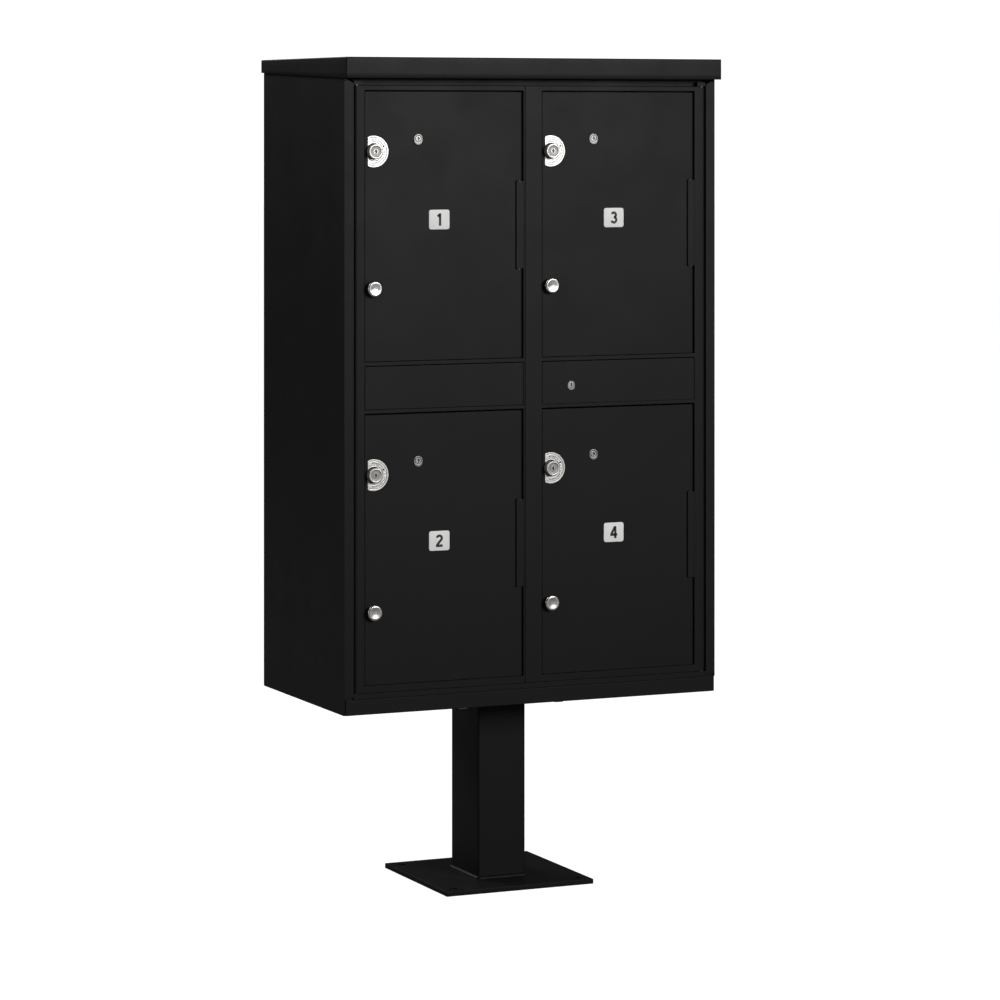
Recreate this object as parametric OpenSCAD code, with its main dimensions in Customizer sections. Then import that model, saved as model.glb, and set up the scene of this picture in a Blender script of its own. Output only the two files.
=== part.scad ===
// Outdoor parcel locker unit: four key-locked compartments in two columns, behind a pair of
// full-height service doors, in a weather hood casing on a bolted-down pedestal.
// Origin: centre of the base plate's underside. +X to the right, +Y to the back, +Z up.

/* [Casing] */
// Width over the two side panels
casing_w = 766; // [680:1:920]
// Depth from the front face to the back panel's outer face
casing_d = 420; // [340:5:520]
// Height from the ground to the casing's underside
casing_z = 362; // [250:2:450]
// Height from the ground to the top of the hood
overall_h = 1575; // [1560:5:1900]
// Casing sheet thickness
casing_t = 3; // [2:0.5:4]
// Width of the front stile that is folded from each side panel
stile_w = 19; // [16:0.5:30]
// Depth of the jamb folded in behind each stile
jamb_d = 30; // [26:1:60]
// Thickness of the inner divider and shelf sheets
shelf_t = 2; // [1.5:0.5:3]

/* [Hood] */
// Hood sheet thickness
hood_t = 2.5; // [1.5:0.5:4]
// Overhang past the casing's front face
hood_front = 20.5; // [15:0.5:60]
// Overhang past each side panel
hood_side = 4.3; // [4:0.1:12]
// Overhang past the back panel
hood_back = 3.5; // [3:0.5:20]
// Height of the front fascia
fascia_h = 39; // [36:1:60]
// Height of the side flange at the back
hood_back_h = 25; // [15:1:36]
// Depth of the dark reveal between the fascia and the service doors
reveal_d = 12; // [8:1:20]
// Height of the reveal
reveal_h = 13.5; // [12:0.5:24]

/* [Sill] */
// Height of the sill that closes the casing's front at the bottom
sill_h = 28.5; // [20:0.5:40]
// Height of the threshold rail above the sill
threshold_h = 10; // [8:0.5:20]
// Gap between the sill and the threshold rail
sill_gap = 0.5; // [0.3:0.1:2]

/* [Service doors] */
// Depth of the service door frames
frame_d = 28; // [27:0.5:40]
// Wall of the frame extrusions
frame_t = 2.8; // [2:0.1:4]
// Gap round the service doors
seam = 0.8; // [0.6:0.1:3]
// Gap where the two service doors meet
meet_gap = 1; // [0.8:0.1:3]
// Face width of the left service door's outer upright
left_upright_w = 20.6; // [16:0.1:40]
// Face width of the right service door's outer upright
right_upright_w = 23.6; // [15:0.1:40]
// Face width of the right service door's inner upright
centre_upright_w = 34.4; // [26:0.1:38]
// Radius of the hinge edge of a service door, with the pivot at its centre
pivot_edge_r = 6; // [5:0.5:7]
// Radius of the pivot pins
pivot_pin_r = 3; // [2:0.5:4]
// Length of pivot pin inside the frame
pivot_engage = 14; // [8:1:25]

/* [Compartment doors] */
// Sheet of the doors and the blank panels
door_t = 2.5; // [2:0.5:4]
// Depth of the folded edge round a door
door_d = 18; // [15:0.5:18]
// Gap on the free side of a door
door_gap = 0.8; // [0.6:0.1:2]
// Gap on the hinge side of a door
hinge_gap = 1.2; // [1:0.1:3]
// Gap above a door
top_gap = 3; // [2:0.1:4]
// Gap below a door
under_gap = 1.1; // [1:0.1:4]
// Height of the blank panel between the upper and lower doors
panel_h = 79.4; // [60:0.1:90]
// Gap above the blank panel
panel_gap = 1.5; // [1:0.1:2]
// Face height of the rails above and below the blank panel
rail_h = 7; // [6:0.5:14]
// Face height of the frame's top rail
top_rail_h = 8.5; // [6:0.5:20]
// Face height of the frame's bottom rail
bottom_rail_h = 13.1; // [8:0.1:24]

/* [Door hinges] */
// Height of the fixed hinge tab
tab_h = 164; // [100:2:240]
// Width of the fixed hinge tab
tab_w = 15.7; // [14:0.1:16]
// Pivot's distance from the door's edge and from its face
hinge_r = 5; // [4.5:0.1:6]
// Radius of the hinge pin
hinge_pin_r = 2.5; // [1.5:0.5:3]
// Length of the door's knuckle above and below the tab
knuckle_h = 25; // [15:1:40]

/* [Customer locks] */
// Lock centre from the door's left edge
lock_inset = 17; // [16:0.5:30]
// Lock centre below the door's top
lock_drop = 110.5; // [80:0.5:160]
// Radius of the bright dress plate
dress_r = 29.6; // [26:0.1:34]
// Distance of the dress plate's flat side from the door's edge
dress_margin = 4.8; // [2:0.1:8]
// Radius of the lock's round bezel
bezel_r = 13.8; // [13:0.1:15]
// How far the bezel stands off the door
bezel_proud = 13; // [4:0.5:16]
// Radius of the lock barrel behind the door
barrel_r = 9.5; // [8.5:0.5:10]
// Radius of the turning plug
plug_r = 6; // [4:0.5:7]

/* [Control locks] */
// Control lock centre from the door's left edge
control_inset = 106; // [80:1:200]
// Control lock centre below the door's top
control_drop = 86.8; // [60:0.1:140]
// Radius of the control lock's ring
control_r = 9; // [8.5:0.5:13]
// How much longer the ring is at the bottom
control_lobe = 3; // [1:0.5:6]

/* [Knobs and number plates] */
// Knob centre from the door's left edge
knob_inset = 16; // [15:0.1:40]
// Knob centre above the door's bottom
knob_rise = 134.3; // [60:0.1:160]
// Radius of the pull knob
knob_r = 14.5; // [11:0.25:14.75]
// How far the knob stands off the door
knob_l = 13; // [10:0.5:26]
// Number plate centre from the door's left edge
number_inset = 148.7; // [110:0.1:200]
// Number plate centre below the door's top
number_drop = 237.3; // [200:0.1:300]
// Width of the number plate
number_w = 41.3; // [36:0.1:60]
// Height of the number plate
number_h = 36.6; // [30:0.1:50]

/* [Service lock] */
// Service lock centre from the right blank panel's left edge
service_inset = 59.2; // [55:0.2:62]
// Service lock centre below the blank panel's centre
service_drop = 4.7; // [0:0.1:8]
// Radius of the service lock's ring
service_r = 7.5; // [7:0.5:10]
// How much longer the ring is at the bottom
service_lobe = 2.5; // [1:0.5:5]
// Travel of the service bolt
bolt_travel = 16; // [12:0.5:18]

/* [Pedestal] */
// Side of the square base plate
base_w = 305; // [260:5:400]
// Base plate thickness
base_t = 9.5; // [8:0.5:16]
// Spacing of the anchor holes
anchor_pitch = 254; // [200:2:256]
// Radius of the anchor holes
anchor_r = 8; // [6:0.5:10]
// Width of the pedestal column
column_w = 99; // [80:1:150]
// Depth of the pedestal column
column_d = 129; // [90:1:160]
// Wall of the pedestal column
column_t = 5; // [3:0.5:8]
// Side of the square plate on top of the column
cap_w = 254; // [220:2:300]
// Spacing of the bolts through the top plate
cap_pitch = 200; // [190:2:210]
// Radius of those bolts
cap_bolt_r = 6; // [4:0.5:8]

/* [Hidden] */
$fn = 48;
fit = 0.05;             // radial running clearance of pins, pivots and lock plugs
clear = 0.5;            // clearance between pieces that pass each other
front = -casing_d / 2;  // the casing's front face, which the doors are flush with
back = casing_d / 2;
half_w = casing_w / 2;
inner_w = half_w - casing_t;
floor_z = casing_z + casing_t;
roof_z = overall_h - hood_t;
ceiling_z = roof_z - casing_t;
reveal_z = overall_h - fascia_h;

// Heights: the service doors fill the front, and the compartment doors share what the rails leave
threshold_z = casing_z + sill_h + sill_gap;
frame_z = threshold_z + threshold_h + seam;
frame_top = reveal_z - reveal_h;
lower_z = frame_z + bottom_rail_h + under_gap;
rails_h = bottom_rail_h + top_rail_h + 2 * (rail_h + under_gap + top_gap) + panel_gap;
door_h = (frame_top - frame_z - rails_h - panel_h) / 2;
panel_z = lower_z + door_h + top_gap + rail_h;
upper_z = panel_z + panel_h + panel_gap + rail_h + under_gap;

// Widths: two equal columns between the uprights of the service doors
left_margin = stile_w + seam + left_upright_w + door_gap;
right_margin = stile_w + seam + right_upright_w;
centre_w = frame_t + meet_gap + centre_upright_w + door_gap;
door_w = (casing_w - left_margin - right_margin - centre_w) / 2 - hinge_gap;
column_pitch = door_w + hinge_gap + centre_w;
panel_w = door_w + hinge_gap - door_gap;

// The pivots of the service doors, and what stands behind the doors
jamb_x = half_w - stile_w;
frame_x = jamb_x - seam;
pivot_x = frame_x - pivot_edge_r;
pivot_y = front + pivot_edge_r;
stop_t = 3;
stop_y = front + door_d + 2;
stop_w = 12;
free_stop_w = 6;        // narrower beside the locks, so that their barrels pass
rail_stop_h = 7;
post_w = 54;
post_y = front + frame_d + 2;
latch_y = post_y + casing_t + 1;

// Locks behind the door: the cams turn just behind the frame's stops
cam_t = 3;
cam_y = stop_y + stop_t + 1 - front;
barrel_l = cam_y - 2;
cam_l = lock_inset - 0.3;
cam_w = 12;
keyway_w = 1.8;
control_barrel_r = 8;
control_plug_r = 5.5;
stud_r = 3;
tab_d = hinge_r + 7;    // depth of the hinge tab, within the sweep of the door's notch
tab_gap = 2.5;          // gap beside the tab, for the corner that swings past it

// Service lock and latch
service_x = -half_w + left_margin + column_pitch + service_inset;
service_z = panel_z + panel_h / 2 - service_drop;
service_barrel_r = 6.8;
service_plug_r = 5.5;
case_w = 70;
case_h = 40;
bolt_y = latch_y - front;
bolt_t = 6;
bolt_h = 13;
bolt_tip = post_w / 2 + 5;
strap_x = 18;
strap_w = 6;
latch_inset = 22;
latch_l = 30;
lip_h = 4;              // the floor's front lip, above the threshold's underside

function column(i) = floor((i - 1) / 2);
function door_x(i) = -half_w + left_margin + column(i) * column_pitch;
function door_z(i) = (i % 2 == 1) ? upper_z : lower_z;
function hinge_x(i) = door_x(i) + door_w - hinge_r;
function tab_z(i) = door_z(i) + (door_h - tab_h) / 2;
function side_sign(side) = side == "left" ? -1 : 1;
function latch_x() = open_left("left") + door_gap + panel_w - latch_inset;
function first_door(side) = side == "left" ? 1 : 3;
// Left and right edges of the openings in a service door, and of the door itself
function open_left(side) = door_x(first_door(side)) - door_gap;
function open_right(side) = door_x(first_door(side)) + door_w + hinge_gap;
meet_x = open_right("left") + frame_t;
function frame_left(side) = side == "left" ? -frame_x : meet_x + meet_gap;
function frame_right(side) = side == "left" ? meet_x : frame_x;

DOORS = [1, 2, 3, 4];
SIDES = ["left", "right"];

paint = [0.09, 0.085, 0.088];
paint_dark = [0.06, 0.06, 0.06];
bright = [0.78, 0.78, 0.8];
zinc = [0.6, 0.62, 0.65];
white = [0.93, 0.93, 0.92];

// ---------- helpers ----------

// A box from one corner to the opposite one
module span(low, high) {
    translate(low) cube(high - low);
}

// A round bar along Y, from y0 to y1
module bar_y(r, y0, y1) {
    translate([0, y0, 0]) rotate([-90, 0, 0]) cylinder(r = r, h = y1 - y0);
}

// A round bar along Z, from z0 to z1
module bar_z(r, z0, z1) {
    translate([0, 0, z0]) cylinder(r = r, h = z1 - z0);
}

// An outline drawn in X and Z, given a thickness along Y from y0 to y1
module slab(y0, y1) {
    translate([0, y1, 0]) rotate([90, 0, 0]) linear_extrude(height = y1 - y0) children();
}

// A rounded rectangle about the centre
module rounded(w, h, r) {
    difference() {
        square([w, h], center = true);
        for (x = [-1, 1], y = [-1, 1])
            translate([x * w / 2, y * h / 2]) difference() {
                square(2 * r, center = true);
                translate([-x * r, -y * r]) circle(r = r);
            }
    }
}

// Moves its children to a place on the face of door i, measured from the door's top left
module on_door(i, inset, drop) {
    translate([door_x(i) + inset, front, door_z(i) + door_h - drop]) children();
}

// What is taken off a square edge, in front and to the right of the Z axis, to round it about the axis
module round_edge(r, z0, z1) {
    translate([0, 0, z0]) linear_extrude(height = z1 - z0) difference() {
        translate([0, -r - 1]) square(r + 1);
        circle(r = r);
    }
}

// A round escutcheon that is longer at the bottom
module escutcheon(r, lobe) {
    union() {
        circle(r = r);
        translate([-r, -lobe]) square([2 * r, lobe]);
        translate([0, -lobe]) circle(r = r);
    }
}

// The four corners of a square pattern
module corners(pitch) {
    for (x = [-1, 1], y = [-1, 1]) translate([x * pitch / 2, y * pitch / 2, 0]) children();
}

// ---------- pedestal ----------

module base_plate() {
    color(paint) difference() {
        translate([-base_w / 2, -base_w / 2, 0]) cube([base_w, base_w, base_t]);
        corners(anchor_pitch) bar_z(anchor_r, -1, base_t + 1);
    }
}

module pedestal_column() {
    h = casing_z - 2 * base_t;
    color(paint) translate([0, 0, base_t]) linear_extrude(height = h) difference() {
        rounded(column_w, column_d, 4);
        square([column_w - 2 * column_t, column_d - 2 * column_t], center = true);
    }
}

module pedestal_top_plate() {
    color(paint) difference() {
        translate([-cap_w / 2, -cap_w / 2, casing_z - base_t]) cube([cap_w, cap_w, base_t]);
        corners(cap_pitch) bar_z(cap_bolt_r, casing_z - base_t - 1, casing_z + 1);
    }
}

// Four bolts up through the top plate and the casing's floor, with their nuts
module pedestal_bolts() {
    across = 2 * cap_bolt_r / cos(30) * 0.95;
    under = casing_z - base_t;
    color(zinc) corners(cap_pitch) union() {
        bar_z(cap_bolt_r, under - 1, floor_z + 16);
        translate([0, 0, under - 8]) cylinder(r = across, h = 8, $fn = 6);
        translate([0, 0, floor_z]) cylinder(r = across, h = 10, $fn = 6);
    }
}

// ---------- casing ----------

// Floor pan with a threshold rail along its front, which carries the lower pivots
module cabinet_floor() {
    lip_y = front + casing_t;
    color(paint) difference() {
        union() {
            span([-inner_w, lip_y, casing_z], [inner_w, back - casing_t, floor_z]);
            span([-inner_w, lip_y, casing_z], [inner_w, lip_y + casing_t, threshold_z + lip_h]);
            span([-jamb_x, front, threshold_z], [jamb_x, front + frame_d, threshold_z + threshold_h]);
        }
        corners(cap_pitch) bar_z(cap_bolt_r, casing_z - 1, floor_z + 1);
        for (x = [-pivot_x, pivot_x])
            translate([x, pivot_y, 0]) bar_z(pivot_pin_r, threshold_z - 1, frame_z + 1);
    }
}

// Side panel: the sheet, the stile folded across the front and the jamb folded in behind it
module side_panel(side) {
    s = side_sign(side);
    x0 = inner_w;
    color(paint_dark) scale([s, 1, 1]) difference() {
        translate([0, 0, casing_z]) linear_extrude(height = roof_z - casing_z) union() {
            translate([x0, front]) square([casing_t, casing_d - casing_t]);
            translate([jamb_x, front]) square([stile_w, casing_t]);
            translate([jamb_x, front]) square([casing_t, jamb_d]);
        }
        // cleared below for the sill and the floor
        span([jamb_x - 1, front - 1, casing_z - 1], [half_w + 1, front + casing_t, threshold_z]);
        span([jamb_x - 1, front, casing_z - 1], [x0, back, threshold_z + lip_h + clear]);
        // the stile's upper end is cut on the slant, up to the reveal
        translate([0, front - 1, 0]) slab(0, jamb_d + 2) polygon([
            [jamb_x - 1, frame_top + seam + 2], [half_w - 0.5, reveal_z + 2],
            [half_w - 0.5, roof_z + 1], [jamb_x - 1, roof_z + 1]
        ]);
        // and its end above the reveal stays behind the fascia
        span([jamb_x - 1, front - 1, reveal_z], [x0, front + jamb_d + 1, roof_z + 1]);
    }
}

module back_panel() {
    color(paint_dark) span([-half_w, back - casing_t, casing_z], [half_w, back, roof_z]);
}

// Roof sheet with a front flange, set back to leave the reveal, and a pivot block at each end
module cabinet_roof() {
    flange_y = front + reveal_d;
    flange_z = frame_top + seam;
    block_w = 24;
    block_h = 8;
    color(paint_dark) difference() {
        union() {
            span([-inner_w, flange_y, ceiling_z], [inner_w, back - casing_t, roof_z]);
            span([-inner_w, flange_y, flange_z], [inner_w, flange_y + casing_t, roof_z]);
            for (s = [-1, 1])
                translate([s * (pivot_x + 1) - block_w / 2, front + 1, flange_z])
                    cube([block_w, reveal_d, block_h]);
        }
        for (x = [-pivot_x, pivot_x])
            translate([x, pivot_y, 0]) bar_z(pivot_pin_r, flange_z - 1, flange_z + block_h + 1);
        // room for the slanted ends of the stiles and their jambs
        for (s = [-1, 1]) scale([s, 1, 1])
            span([jamb_x - clear, front, flange_z - 1], [inner_w + 1, front + jamb_d + 1, reveal_z + 1]);
    }
}

// Rain hood: an open-bottomed cap with side flanges that taper towards the back
module hood() {
    x = half_w + hood_side;
    y0 = front - hood_front;
    y1 = back + hood_back;
    color(paint) difference() {
        hood_side_profile(x, y0, y1);
        span([-x + hood_t, y0 + hood_t, 0], [x - hood_t, y1 - hood_t, overall_h - hood_t]);
    }
}

module hood_side_profile(x, y0, y1) {
    translate([-x, 0, 0]) rotate([90, 0, 90]) linear_extrude(height = 2 * x) polygon([
        [y0, overall_h], [y0, overall_h - fascia_h],
        [y1, overall_h - hood_back_h], [y1, overall_h]
    ]);
}

// Sill strip across the front of the floor's lip
module front_sill() {
    color(paint) span([-inner_w, front, casing_z], [inner_w, front + casing_t, casing_z + sill_h]);
}

module centre_divider() {
    color(paint_dark) span([-shelf_t / 2, post_y + casing_t, floor_z],
                           [shelf_t / 2, back - casing_t, ceiling_z]);
}

// Upright behind the line where the service doors meet, which their latches hook behind
module centre_post() {
    color(paint_dark) span([-post_w / 2, post_y, floor_z],
                           [post_w / 2, post_y + casing_t, ceiling_z]);
}

// Channel-shaped shelf, open to the front, with the floor of the upper compartment on top
module shelf(side) {
    s = side_sign(side);
    y0 = max(front + jamb_d + 4, post_y + casing_t + 1);
    y1 = back - casing_t;
    z0 = panel_z - 2;
    z1 = panel_z + panel_h + 4;
    color(paint_dark) scale([s, 1, 1]) translate([shelf_t / 2, 0, 0])
        rotate([90, 0, 90]) linear_extrude(height = inner_w - shelf_t / 2) difference() {
            translate([y0, z0]) square([y1 - y0, z1 - z0]);
            translate([y0 - 1, z0 + shelf_t]) square([y1 - y0 - shelf_t + 1, z1 - z0 - 2 * shelf_t]);
        }
}

// Four pins, pressed into the threshold and the roof's blocks, that the service doors turn on
module pivot_pins() {
    color(zinc) for (x = [-pivot_x, pivot_x]) translate([x, pivot_y, 0]) {
        bar_z(pivot_pin_r, threshold_z + 1, frame_z + pivot_engage);
        bar_z(pivot_pin_r, frame_top - pivot_engage, frame_top + seam + 8);
    }
}

// ---------- service doors ----------

// Upright of a service door frame, as a plan outline: face, outer wall and stop behind the door
module stile_outline(x0, x1, stop, outer) {
    wall_x = outer < 0 ? x1 - frame_t : x0;
    outer_x = outer < 0 ? x0 : x1 - frame_t;
    stop_x = outer < 0 ? x0 : x0 - stop;
    union() {
        translate([x0, front]) square([x1 - x0, frame_t]);
        translate([outer_x, front]) square([frame_t, frame_d]);
        translate([wall_x, front]) square([frame_t, stop_y + stop_t - front]);
        translate([stop_x, stop_y]) square([x1 - x0 + stop, stop_t]);
    }
}

// Cross rail of a service door frame, as a side outline with a stop above and below
module rail_outline(z0, z1, stop_up, stop_down) {
    union() {
        translate([front, z0]) square([stop_y + stop_t - front, z1 - z0]);
        translate([stop_y, z0 - stop_down]) square([stop_t, z1 - z0 + stop_up + stop_down]);
    }
}

module rail(side, z0, z1, stop_up, stop_down) {
    translate([open_left(side), 0, 0]) rotate([90, 0, 90])
        linear_extrude(height = open_right(side) - open_left(side))
            rail_outline(z0, z1, stop_up, stop_down);
}

// Welded frame of two uprights and four rails round two door openings and a blank panel
module service_frame(side) {
    fl = frame_left(side);
    fr = frame_right(side);
    ol = open_left(side);
    or = open_right(side);
    pivot = side_sign(side) * pivot_x;
    hinge_left = side == "left";
    color(paint) {
        difference() {
            translate([0, 0, frame_z]) linear_extrude(height = frame_top - frame_z) union() {
                stile_outline(fl, ol, free_stop_w, -1);
                if (hinge_left) barrel_outline(pivot, -1);
            }
            if (hinge_left) barrel_cut(pivot, -1);
        }
        difference() {
            translate([0, 0, frame_z]) linear_extrude(height = frame_top - frame_z) union() {
                stile_outline(or, fr, stop_w, 1);
                if (!hinge_left) barrel_outline(pivot, 1);
            }
            if (!hinge_left) barrel_cut(pivot, 1);
        }
        rail(side, frame_z, lower_z - under_gap, rail_stop_h, 0);
        rail(side, lower_z + door_h + top_gap, panel_z - clear, rail_stop_h, rail_stop_h);
        rail(side, panel_z + panel_h + panel_gap, upper_z - under_gap, rail_stop_h, rail_stop_h);
        rail(side, upper_z + door_h + top_gap, frame_top, 0, rail_stop_h);
    }
}

// Solid round edge about a service door's pivot
module barrel_outline(pivot, outer) {
    translate([pivot, pivot_y]) union() {
        circle(r = pivot_edge_r);
        translate([outer < 0 ? 0 : -pivot_edge_r, -pivot_edge_r]) square([pivot_edge_r, 2 * pivot_edge_r]);
        translate([-pivot_edge_r, 0]) square([2 * pivot_edge_r, pivot_edge_r]);
    }
}

// What is taken off a service door's hinge edge: the square corner in front, and the pin bores
module barrel_cut(pivot, outer) {
    bore_r = pivot_pin_r + fit;
    translate([pivot, pivot_y, 0]) {
        bar_z(bore_r, frame_z - 1, frame_z + pivot_engage + 1);
        bar_z(bore_r, frame_top - pivot_engage - 1, frame_top + 1);
        translate([0, 0, frame_z - 1]) linear_extrude(height = frame_top - frame_z + 2) difference() {
            translate([outer < 0 ? -pivot_edge_r - 1 : 0, -pivot_edge_r - 1])
                square([pivot_edge_r + 1, pivot_edge_r + 1]);
            circle(r = pivot_edge_r);
        }
    }
}

// Folded pan with a face w by h: the base of the doors and the blank panels
module pan(w, h, depth) {
    difference() {
        cube([w, depth, h]);
        translate([door_t, door_t, door_t]) cube([w - 2 * door_t, depth, h - 2 * door_t]);
    }
}

module blank_panel(side) {
    i = first_door(side);
    color(paint) difference() {
        union() {
            translate([door_x(i), front, panel_z]) pan(panel_w, panel_h, stop_y - front);
            if (side == "left") translate([latch_x(), front, panel_z + panel_h / 2]) latch_boss();
        }
        if (side == "right")
            translate([service_x, front, service_z]) bar_y(service_barrel_r, -1, door_t + 1);
    }
}

// Boss behind the left blank panel with the latch's pivot pin and its retaining head
module latch_boss() {
    bar_y(6, door_t - 1, bolt_y - clear);
    bar_y(pivot_pin_r, door_t, bolt_y + cam_t + 2);
    bar_y(5, bolt_y + cam_t + clear, bolt_y + cam_t + 2);
}

// ---------- compartment door hinges ----------

// Fixed middle knuckle of a door hinge: flush tab with a leaf behind it on the frame
module hinge_tab(i) {
    x1 = door_x(i) + door_w + hinge_gap;
    color(paint) difference() {
        union() {
            span([x1 - hinge_gap - tab_w + tab_gap, front, tab_z(i)], [x1, front + tab_d, tab_z(i) + tab_h]);
            span([x1 - 3, front, tab_z(i)], [x1, stop_y, tab_z(i) + tab_h]);
        }
        translate([hinge_x(i), front + hinge_r, 0]) bar_z(hinge_pin_r, tab_z(i) - 1, tab_z(i) + tab_h + 1);
    }
}

module hinge_pin(i) {
    reach = knuckle_h - 3;
    color(zinc) translate([hinge_x(i), front + hinge_r, 0])
        bar_z(hinge_pin_r, tab_z(i) - reach, tab_z(i) + tab_h + reach);
}

module hinge_tabs(side) {
    for (i = [first_door(side), first_door(side) + 1]) hinge_tab(i);
}

module hinge_pins(side) {
    for (i = [first_door(side), first_door(side) + 1]) hinge_pin(i);
}

// ---------- compartment doors ----------

module door(i) {
    notch_x = door_x(i) + door_w - tab_w;
    z0 = tab_z(i) - door_gap;
    z1 = tab_z(i) + tab_h + door_gap;
    right = door_x(i) + door_w;
    color(paint) difference() {
        union() {
            difference() {
                translate([door_x(i), front, door_z(i)]) pan(door_w, door_h, door_d);
                span([notch_x, front - 1, z0], [right + 1, front + door_d + 1, z1]);
            }
            // edge of the notch
            span([notch_x - door_t, front, z0 - door_t], [notch_x, front + tab_d, z1 + door_t]);
            for (z = [z0 - knuckle_h, z1])
                span([right - 2 * hinge_r, front, z], [right, front + 2 * hinge_r, z + knuckle_h]);
        }
        translate([hinge_x(i), front + hinge_r, 0]) {
            bar_z(hinge_pin_r + fit, z0 - knuckle_h - 1, z1 + knuckle_h + 1);
            round_edge(hinge_r, door_z(i) - 1, door_z(i) + door_h + 1);
        }
        on_door(i, lock_inset, lock_drop) bar_y(barrel_r, -1, door_t + 1);
        on_door(i, control_inset, control_drop) bar_y(control_barrel_r, -1, door_t + 1);
        on_door(i, knob_inset, door_h - knob_rise) bar_y(stud_r, -1, door_t + 1);
    }
}

// Bright plate round the customer lock, cut flat beside the door's edge
module dress_plate(i) {
    flat = lock_inset - dress_margin;
    color(bright) on_door(i, lock_inset, lock_drop) slab(-1.6, 0) difference() {
        circle(r = dress_r, $fn = 96);
        translate([-2 * dress_r - flat, -dress_r]) square(2 * dress_r);
        circle(r = bezel_r + 1);
    }
}

// Fixed part of a customer lock: bezel in front, threaded barrel and nut behind
module lock_body(i) {
    color(bright) on_door(i, lock_inset, lock_drop) difference() {
        union() {
            bar_y(bezel_r, -bezel_proud, 0);
            bar_y(barrel_r, -1, barrel_l);
            translate([0, door_t, 0]) rotate([-90, 30, 0]) cylinder(r = 13, h = 5, $fn = 6);
        }
        bar_y(plug_r + fit, -bezel_proud - 1, barrel_l + 1);
    }
}

// Turning part of a customer lock: keyed plug with the cam fixed at its back
module lock_plug(i) {
    color(zinc) on_door(i, lock_inset, lock_drop) difference() {
        union() {
            bar_y(plug_r, -bezel_proud + 0.8, cam_y + cam_t + 2);
            slab(cam_y, cam_y + cam_t) cam_outline(cam_l, cam_w);
        }
        keyway(-bezel_proud + 0.8, 8);
    }
}

// Cam that points down, with a round root
module cam_outline(l, w) {
    union() {
        circle(r = 8);
        translate([-w / 2, -l]) square([w, l]);
    }
}

// Slot for the key, h high, cut into a plug's front from y inwards
module keyway(y, h) {
    span([-keyway_w / 2, y - 1, -h / 2], [keyway_w / 2, y + 4, h / 2]);
}

module control_body(i) {
    color(paint_dark) on_door(i, control_inset, control_drop) difference() {
        union() {
            slab(-2, 0) escutcheon(control_r, control_lobe);
            bar_y(control_barrel_r, -1, barrel_l);
            translate([0, door_t, 0]) rotate([-90, 0, 0]) cylinder(r = 12, h = 5, $fn = 6);
        }
        bar_y(control_plug_r + fit, -3, barrel_l + 1);
    }
}

module control_plug(i) {
    color(zinc) on_door(i, control_inset, control_drop) difference() {
        union() {
            bar_y(control_plug_r, -1.6, cam_y + cam_t + 2);
            slab(cam_y, cam_y + cam_t) cam_outline(26, 10);
        }
        keyway(-1.6, 7);
    }
}

// Turned pull knob with a waist, fixed by a stud and a nut behind the door
module knob(i) {
    color(bright) on_door(i, knob_inset, door_h - knob_rise) {
        rotate([90, 0, 0]) rotate_extrude() polygon([
            [0, 0], [9.5, 0], [9.5, 0.1 * knob_l], [7, 0.25 * knob_l], [7, 0.4 * knob_l],
            [knob_r - 1.5, 0.65 * knob_l], [knob_r, 0.78 * knob_l], [knob_r, knob_l - 1],
            [knob_r - 1, knob_l], [8, knob_l], [5, knob_l - 1], [0, knob_l - 1.4]
        ]);
        bar_y(stud_r, -1, door_t + 7);
        translate([0, door_t, 0]) rotate([-90, 0, 0]) cylinder(r = 6, h = 4, $fn = 6);
    }
}

module number_plate(i) {
    color(white) on_door(i, number_inset, number_drop) slab(-1.2, 0) rounded(number_w, number_h, 5);
}

// ---------- service lock and inner latch ----------

// Lock barrel, its case behind the panel and the two straps that guide the bolt
module service_lock_body() {
    case_back = bolt_y - 1;
    strap_h = bolt_h + 8;
    over = bolt_y + bolt_t + clear;
    color(paint_dark) translate([service_x, front, service_z]) difference() {
        union() {
            slab(-2, 0) escutcheon(service_r, service_lobe);
            bar_y(service_barrel_r, -1, case_back);
            span([-case_w / 2, door_t, -case_h / 2], [case_w / 2, case_back, case_h / 2]);
            for (x = [2 - case_w / 2, strap_x])
                span([x, case_back - 1, -strap_h / 2], [x + strap_w, over + 3, strap_h / 2]);
        }
        bar_y(service_plug_r + fit, -3, case_back + 1);
        span([-case_w, case_back + clear, -bolt_h / 2 - 0.3], [case_w, over, bolt_h / 2 + 0.3]);
    }
}

module service_lock_plug() {
    color(zinc) translate([service_x, front, service_z]) difference() {
        bar_y(service_plug_r, -1.6, bolt_y - 2);
        keyway(-1.6, 6.5);
    }
}

// Flat bolt that slides behind the centre post, and stays in both straps over its travel
module service_bolt() {
    bolt_end = service_x + strap_x + strap_w + bolt_travel;
    color(zinc) span([bolt_tip, front + bolt_y, service_z - bolt_h / 2],
                     [bolt_end, front + bolt_y + bolt_t, service_z + bolt_h / 2]);
}

// Lever inside the left service door that turns behind the centre post
module left_latch() {
    color(zinc) translate([latch_x(), latch_y, panel_z + panel_h / 2]) difference() {
        slab(0, cam_t) cam_outline(latch_l, cam_w);
        bar_y(pivot_pin_r + fit, -1, cam_t + 1);
    }
}

// ---------- the nodes ----------

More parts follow.
